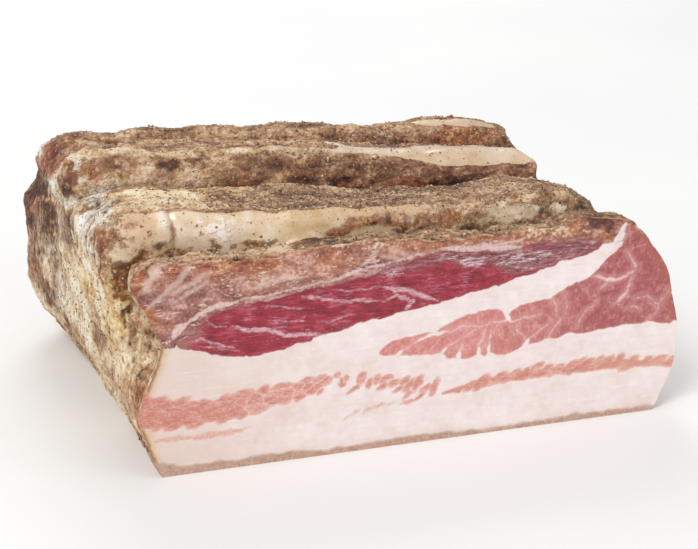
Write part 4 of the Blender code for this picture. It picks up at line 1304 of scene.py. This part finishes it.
def dried_crust(s, crisp):
    """Dried fat and meat from dark cracks to cream crumbs, the cracks partly painted shade, and the patches of them
    that differ.
    """
    ruddy = (s.broad * 0.6 + s.lump * 0.4).step(0.46, 0.56, 0, 0.4)
    return s.layers(
        s.ramp(s.field("cream") * 0.34 + crisp - 0.12, {
            0.0: (48, 30, 20), 0.2: (96, 64, 42), 0.38: (146, 106, 74), 0.56: (188, 148, 108),
            0.76: (226, 198, 156), 1.0: (244, 231, 208)}),
        (ruddy * s.up.step(0, 1, 1, 0.4), s.ramp(crisp, {
            0.15: (86, 44, 28), 0.4: (154, 96, 68), 0.6: (202, 144, 110), 0.85: (236, 202, 174)})),
        (s.wall, s.ramp(s.field("cream") * 0.16 + crisp - 0.03, {
            0.05: (92, 58, 38), 0.25: (152, 112, 80), 0.45: (200, 166, 130), 0.66: (230, 205, 168),
            0.9: (249, 238, 214)})),
        s.patch("grey", crisp, (82, 62, 50), (138, 116, 98), (176, 154, 134), (216, 202, 184), 0.8),
        s.patch("yellow", crisp, (132, 84, 40), (202, 156, 98), (236, 206, 150), (251, 236, 200)),
        s.patch("meat", crisp, (62, 34, 22), (120, 76, 54), (162, 114, 86), (210, 172, 142), 0.85),
        s.patch("flesh", crisp, (140, 86, 54), (198, 144, 104), (222, 180, 144), (242, 218, 190), 0.85),
        s.patch("spice", crisp + (s.fine - 0.5) * 0.6, (58, 37, 24), (120, 87, 60), (165, 130, 96),
                (210, 180, 142), 0.7),
        s.patch("frost", crisp, (104, 82, 60), (184, 166, 142), (232, 224, 208), (250, 248, 242), reach=1.8),
    )


def bare_fat(s):
    """Fat that lies bare, with a darker border, and duller on the back strips' bands, where the darkening is painted
    shade.
    """
    return s.layers(
        s.ramp(s.broad * 0.6 + s.lump * 0.3 + s.fine * 0.1, {
            0.38: (206, 170, 124), 0.5: (228, 202, 168), 0.62: (244, 228, 208)}),
        ((s.field("fat") + s.nudge * 0.5).step(0.5, 1.0, 0.6, 0), (208, 164, 122)),
        # Painted shade on the back strips' fat bands.
        (s.field("shaded_back_fat") * 0.5, (204, 172, 142)),
    )


def crust_material():
    """Dried fat and meat under ground spice, with bare and glassy fat, painted glints where it is wet, and painted
    shade in its hollows, pits and crevices.
    """
    s = CrustShader()
    grain, crisp = crust_grain(s)
    greasy = s.cover("fat", 0.3, 0.5, 0.6)
    shine_blobs = s.noise(1.5, 1, 0.5).step(0.42, 0.62)
    shine = s.field("shine").step(0.05, 0.9)
    dabs = s.marks(2.4, 0.1, 0.52, s.shaken(1.2, 0.4), s.nudge * 0.3)
    # Painted shade where the relief lies low on the walls.
    hollow_shade = (s.height + s.nudge * 0.8).step(-1.1, -0.35, 0.6, 0)
    colour = s.layers(
        dried_crust(s, crisp),
        (greasy, bare_fat(s)),
        s.patch("tallow", crisp * 0.5 + s.lump * 0.5, (164, 132, 96), (206, 182, 146), (226, 206, 176),
                (242, 228, 208)),
        # Painted highlights in blobs on the wet fat.
        (shine * shine_blobs.step(0, 1, 0.25, 0.85), (251, 242, 233)),
        (dabs * greasy * 1.2, (140, 88, 50)),
        s.patch("rust", crisp, (66, 32, 14), (124, 70, 38), (168, 108, 66), (216, 170, 126), 0.88),
        s.patch("stain", crisp, (54, 30, 14), (108, 66, 32), (164, 114, 64), (216, 182, 136), reach=2),
        s.patch("wet", crisp, (66, 30, 18), (112, 58, 38), (150, 88, 60), (200, 150, 118), 0.95, 1),
        s.patch("amber", crisp, (34, 14, 2), (76, 40, 10), (128, 76, 26), (200, 150, 78), 0.95, 1),
        (s.marks(0.9, 0.16, 0.76) * 0.75, (88, 50, 28)),
        # Painted shade in the pits.
        (s.cover("pit", reach=0.6, most=0.7), (112, 74, 46)),
        (hollow_shade * s.wall.step(0, 1, 1, 0.5), (70, 44, 28)),
        # Painted shade in crevices, grooves and the notch.
        (s.cover("deep", 0.3, 1.1, 1.6, 0.85), (52, 28, 12)),
    )
    glossy = s.larger(greasy, s.cover("tallow") * 0.8)
    sticky = s.larger(s.cover("amber"), s.larger(s.cover("wet"), s.cover("rust") * 0.5))
    rough = s.fine.step(0.35, 0.65, 0.5, 0.85) + glossy * -0.34 + sticky * -0.12
    bumps = grain * 1.1 + s.fine * 0.6 + s.mid * 0.8 + s.drawn * 0.25
    bumps = bumps * s.larger(glossy, sticky * 0.4).step(0, 0.6, 1, 0.15) + shine_blobs * shine * 0.3
    return s.finish(colour, rough, s.bump(bumps, 0.7, 0.9), Subsurface_Weight=0.06, Subsurface_Scale=0.002,
                    Subsurface_Radius=(1.0, 0.55, 0.35), Coat_Weight=glossy * 0.8, Coat_Roughness=0.2)


def rind_material():
    """Tan skin: fine creases, pores and small dark marks."""
    s = Shader("rind")
    fine, broad = s.noise(0.8, 4, 0.6), s.noise(14, 4, 0.55)
    crease = s.noise(3.0, 3, 0.6, 1.0, s.stretched((1, 3, 1)))
    pore = s.cells(3.4)
    skin = s.layers(
        s.ramp(broad * 0.7 + fine * 0.3, {0.3: (142, 104, 78), 0.5: (180, 144, 114), 0.7: (208, 180, 152)}),
        (pore.step(0.05, 0.14, 0.6, 0), (112, 74, 50)),
        (crease.step(0.55, 0.7, 0, 0.3), (224, 196, 160)),
    )
    height = crease * 0.8 + fine * 0.2 + pore.step(0.05, 0.16)
    return s.finish(skin, broad.step(0.3, 0.7, 0.5, 0.62), s.bump(height, 0.3, 0.6))


def grain_material(name, *shades):
    """Broken grains, each of its own shade."""
    s = Shader(name)
    fine = s.noise(0.3, 2, 0.5)
    shade = s.node("ShaderNodeNewGeometry", "Random Per Island") * 0.75 + fine * 0.25
    colour = s.ramp(shade, dict(zip((0.15, 0.55, 0.9), shades)))
    return s.finish(colour, fine.step(0.3, 0.7, 0.65, 0.85), s.bump(fine, 0.1, 0.5))


def floor_material():
    """A dull, nearly white table top."""
    s = Shader("floor")
    cloudy = s.noise(160, 2, 0.5)
    colour = s.ramp(cloudy, {0.3: (243, 243, 243), 0.7: (247, 247, 246)})
    return s.finish(colour, cloudy.step(0.3, 0.7, 0.75, 0.85), s.bump(s.noise(2, 2, 0.5), 0.02, 0.1))


# Pieces


def dress(name, data, material, smooth=True):
    data.name = name
    data.materials.clear()
    data.materials.append(material)
    if smooth:
        data.shade_smooth()
    piece = new_object(name, data)
    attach(piece, "root")
    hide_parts(NODE)


def make_body():
    body = fine_body()
    edges = mesh_edges(body)
    points = relax(mesh_points(body), edges, EVEN_PASSES, 0.5)
    set_points(body, points)
    fields = crust_fields(points, mesh_normals(body))
    points = relax(points, edges, SMOOTH_PASSES, 0.5 * np.maximum(fields["smooth"], 0.6 * fields["wall"]))
    x, y, z = points.T
    flank = smoothstep(x, 118, 126) * smoothstep(y, -7.5, -6) * (1 - smoothstep(y, 6, 40))
    points = relax(points, edges, FLANK_PASSES, 0.6 * flank * smoothstep(z, 3, 10))
    set_points(body, points)
    relief, fields["pit"] = crust_relief(points, fields)
    for name, values in fields.items():
        set_field(body, name, values)
    set_field(body, "height", relief)
    skin = 1 - smoothstep(points[:, 2], RIND_THICKNESS - 1, RIND_THICKNESS + 1)
    relief = relief * (1 - 0.75 * (1 - smoothstep(points[:, 1], 0.5, 6)) * (1 - fields["up"]))
    relief = relief * (1 - skin) + 0.35 * skin * (1 + layered(points, 5, SEED + 90, 2) * 0.6)
    moved = points + mesh_normals(body) * relief[:, None]
    set_points(body, np.clip(moved, (LOW[0], -np.inf, -np.inf), HIGH))
    body = sliced(body, Vector(place((0, 0, 0))), Vector((0, -1, 0)))
    return sliced(body, Vector(place((0, 0, 0))), Vector((0, 0, -1)))


def main():
    body = make_body()
    crust_look, rind_look, face_look = crust_material(), rind_material(), face_material()
    centres = face_centres(body)
    rind = centres[:, 2] < RIND_THICKNESS
    bounds = [-1e9, *GROOVES, 1e9]
    for number, (near, far) in enumerate(zip(bounds, bounds[1:]), 1):
        keep = ~rind & (centres[:, 1] >= near) & (centres[:, 1] < far)
        strip = part_of(body, f"crust_{number}", keep)
        dress(f"crust_{number}", strip, crust_look)
    dress("rind_edge", part_of(body, "rind_edge", rind), rind_look)
    dress("rind_underside", make_underside(body), rind_look)
    dress("cut_face", make_cut_face(body), face_look)

    corner = read(body.loops, "vertex_index", 1, np.int32)[read(body.polygons, "loop_start", 1, np.int32)]
    spice, fat, cream, deep = (
        read(body.attributes[name].data, "value")[corner] for name in ("spice", "fat", "cream", "deep"))
    open_skin = (centres[:, 2] > 6) * (1 - deep)
    bare = np.clip(fat * 1.4, 0, 1)
    spots, normals, random = scattered(body, (0.07 + spice) * (1 - 0.6 * bare) * open_skin, 4600, SEED + 100)
    pepper = grains("pepper", spots, normals, random.gamma(4, 0.032, len(spots)) + 0.1, 0.35, random)
    pepper_look = grain_material("pepper", (78, 48, 30), (120, 82, 56), (164, 124, 90))
    dress("pepper", pepper, pepper_look, False)
    weight = (0.04 + cream + 0.5 * spice) * (1 - bare) * open_skin
    spots, normals, random = scattered(body, weight, 3600, SEED + 101)
    crumbs = grains("crumbs", spots, normals, random.gamma(4, 0.045, len(spots)) + 0.14, 0.45, random)
    crumb_look = grain_material("crumbs", (140, 106, 76), (190, 158, 122), (226, 206, 174))
    dress("crumbs", crumbs, crumb_look, False)


def studio():
    scene = bpy.context.scene
    scene.view_settings.view_transform = "Standard"
    world = bpy.data.worlds.new("studio")
    scene.world = world
    world.use_nodes = True
    sky = world.node_tree.nodes["Background"]
    sky.inputs["Color"].default_value = (1, 1, 1, 1)
    sky.inputs["Strength"].default_value = SKY_STRENGTH

    for name, (spot, size, power) in LIGHTS.items():
        light = bpy.data.lights.new(name, "AREA")
        light.shape = "DISK"
        light.size = size
        light.energy = power
        lamp = new_object(name, light)
        lamp.location = spot
        lamp.rotation_euler = (AIM - Vector(spot)).to_track_quat("-Z", "Y").to_euler()

    work = bmesh.new()
    bmesh.ops.create_grid(work, x_segments=8, y_segments=8, size=FLOOR_SIZE)
    floor = mesh_of(work, "floor")
    floor.materials.append(floor_material())
    new_object("floor", floor)

    lens = bpy.data.cameras.new("camera")
    lens.sensor_width = SENSOR_WIDTH
    lens.lens = FOCAL_PIXELS / PHOTO_SIZE[0] * SENSOR_WIDTH
    eye = new_object("camera", lens)
    yaw, pitch = CAMERA_YAW, CAMERA_PITCH
    ahead = Vector((math.sin(yaw) * math.cos(pitch), math.cos(yaw) * math.cos(pitch), -math.sin(pitch)))
    across = Vector((math.cos(yaw), -math.sin(yaw), 0))
    turn = Matrix((across, across.cross(ahead), -ahead)).transposed()
    eye.matrix_world = Matrix.Translation(Vector(place(CAMERA_PLACE))) @ turn.to_4x4()
    scene.camera = eye


main()
studio()
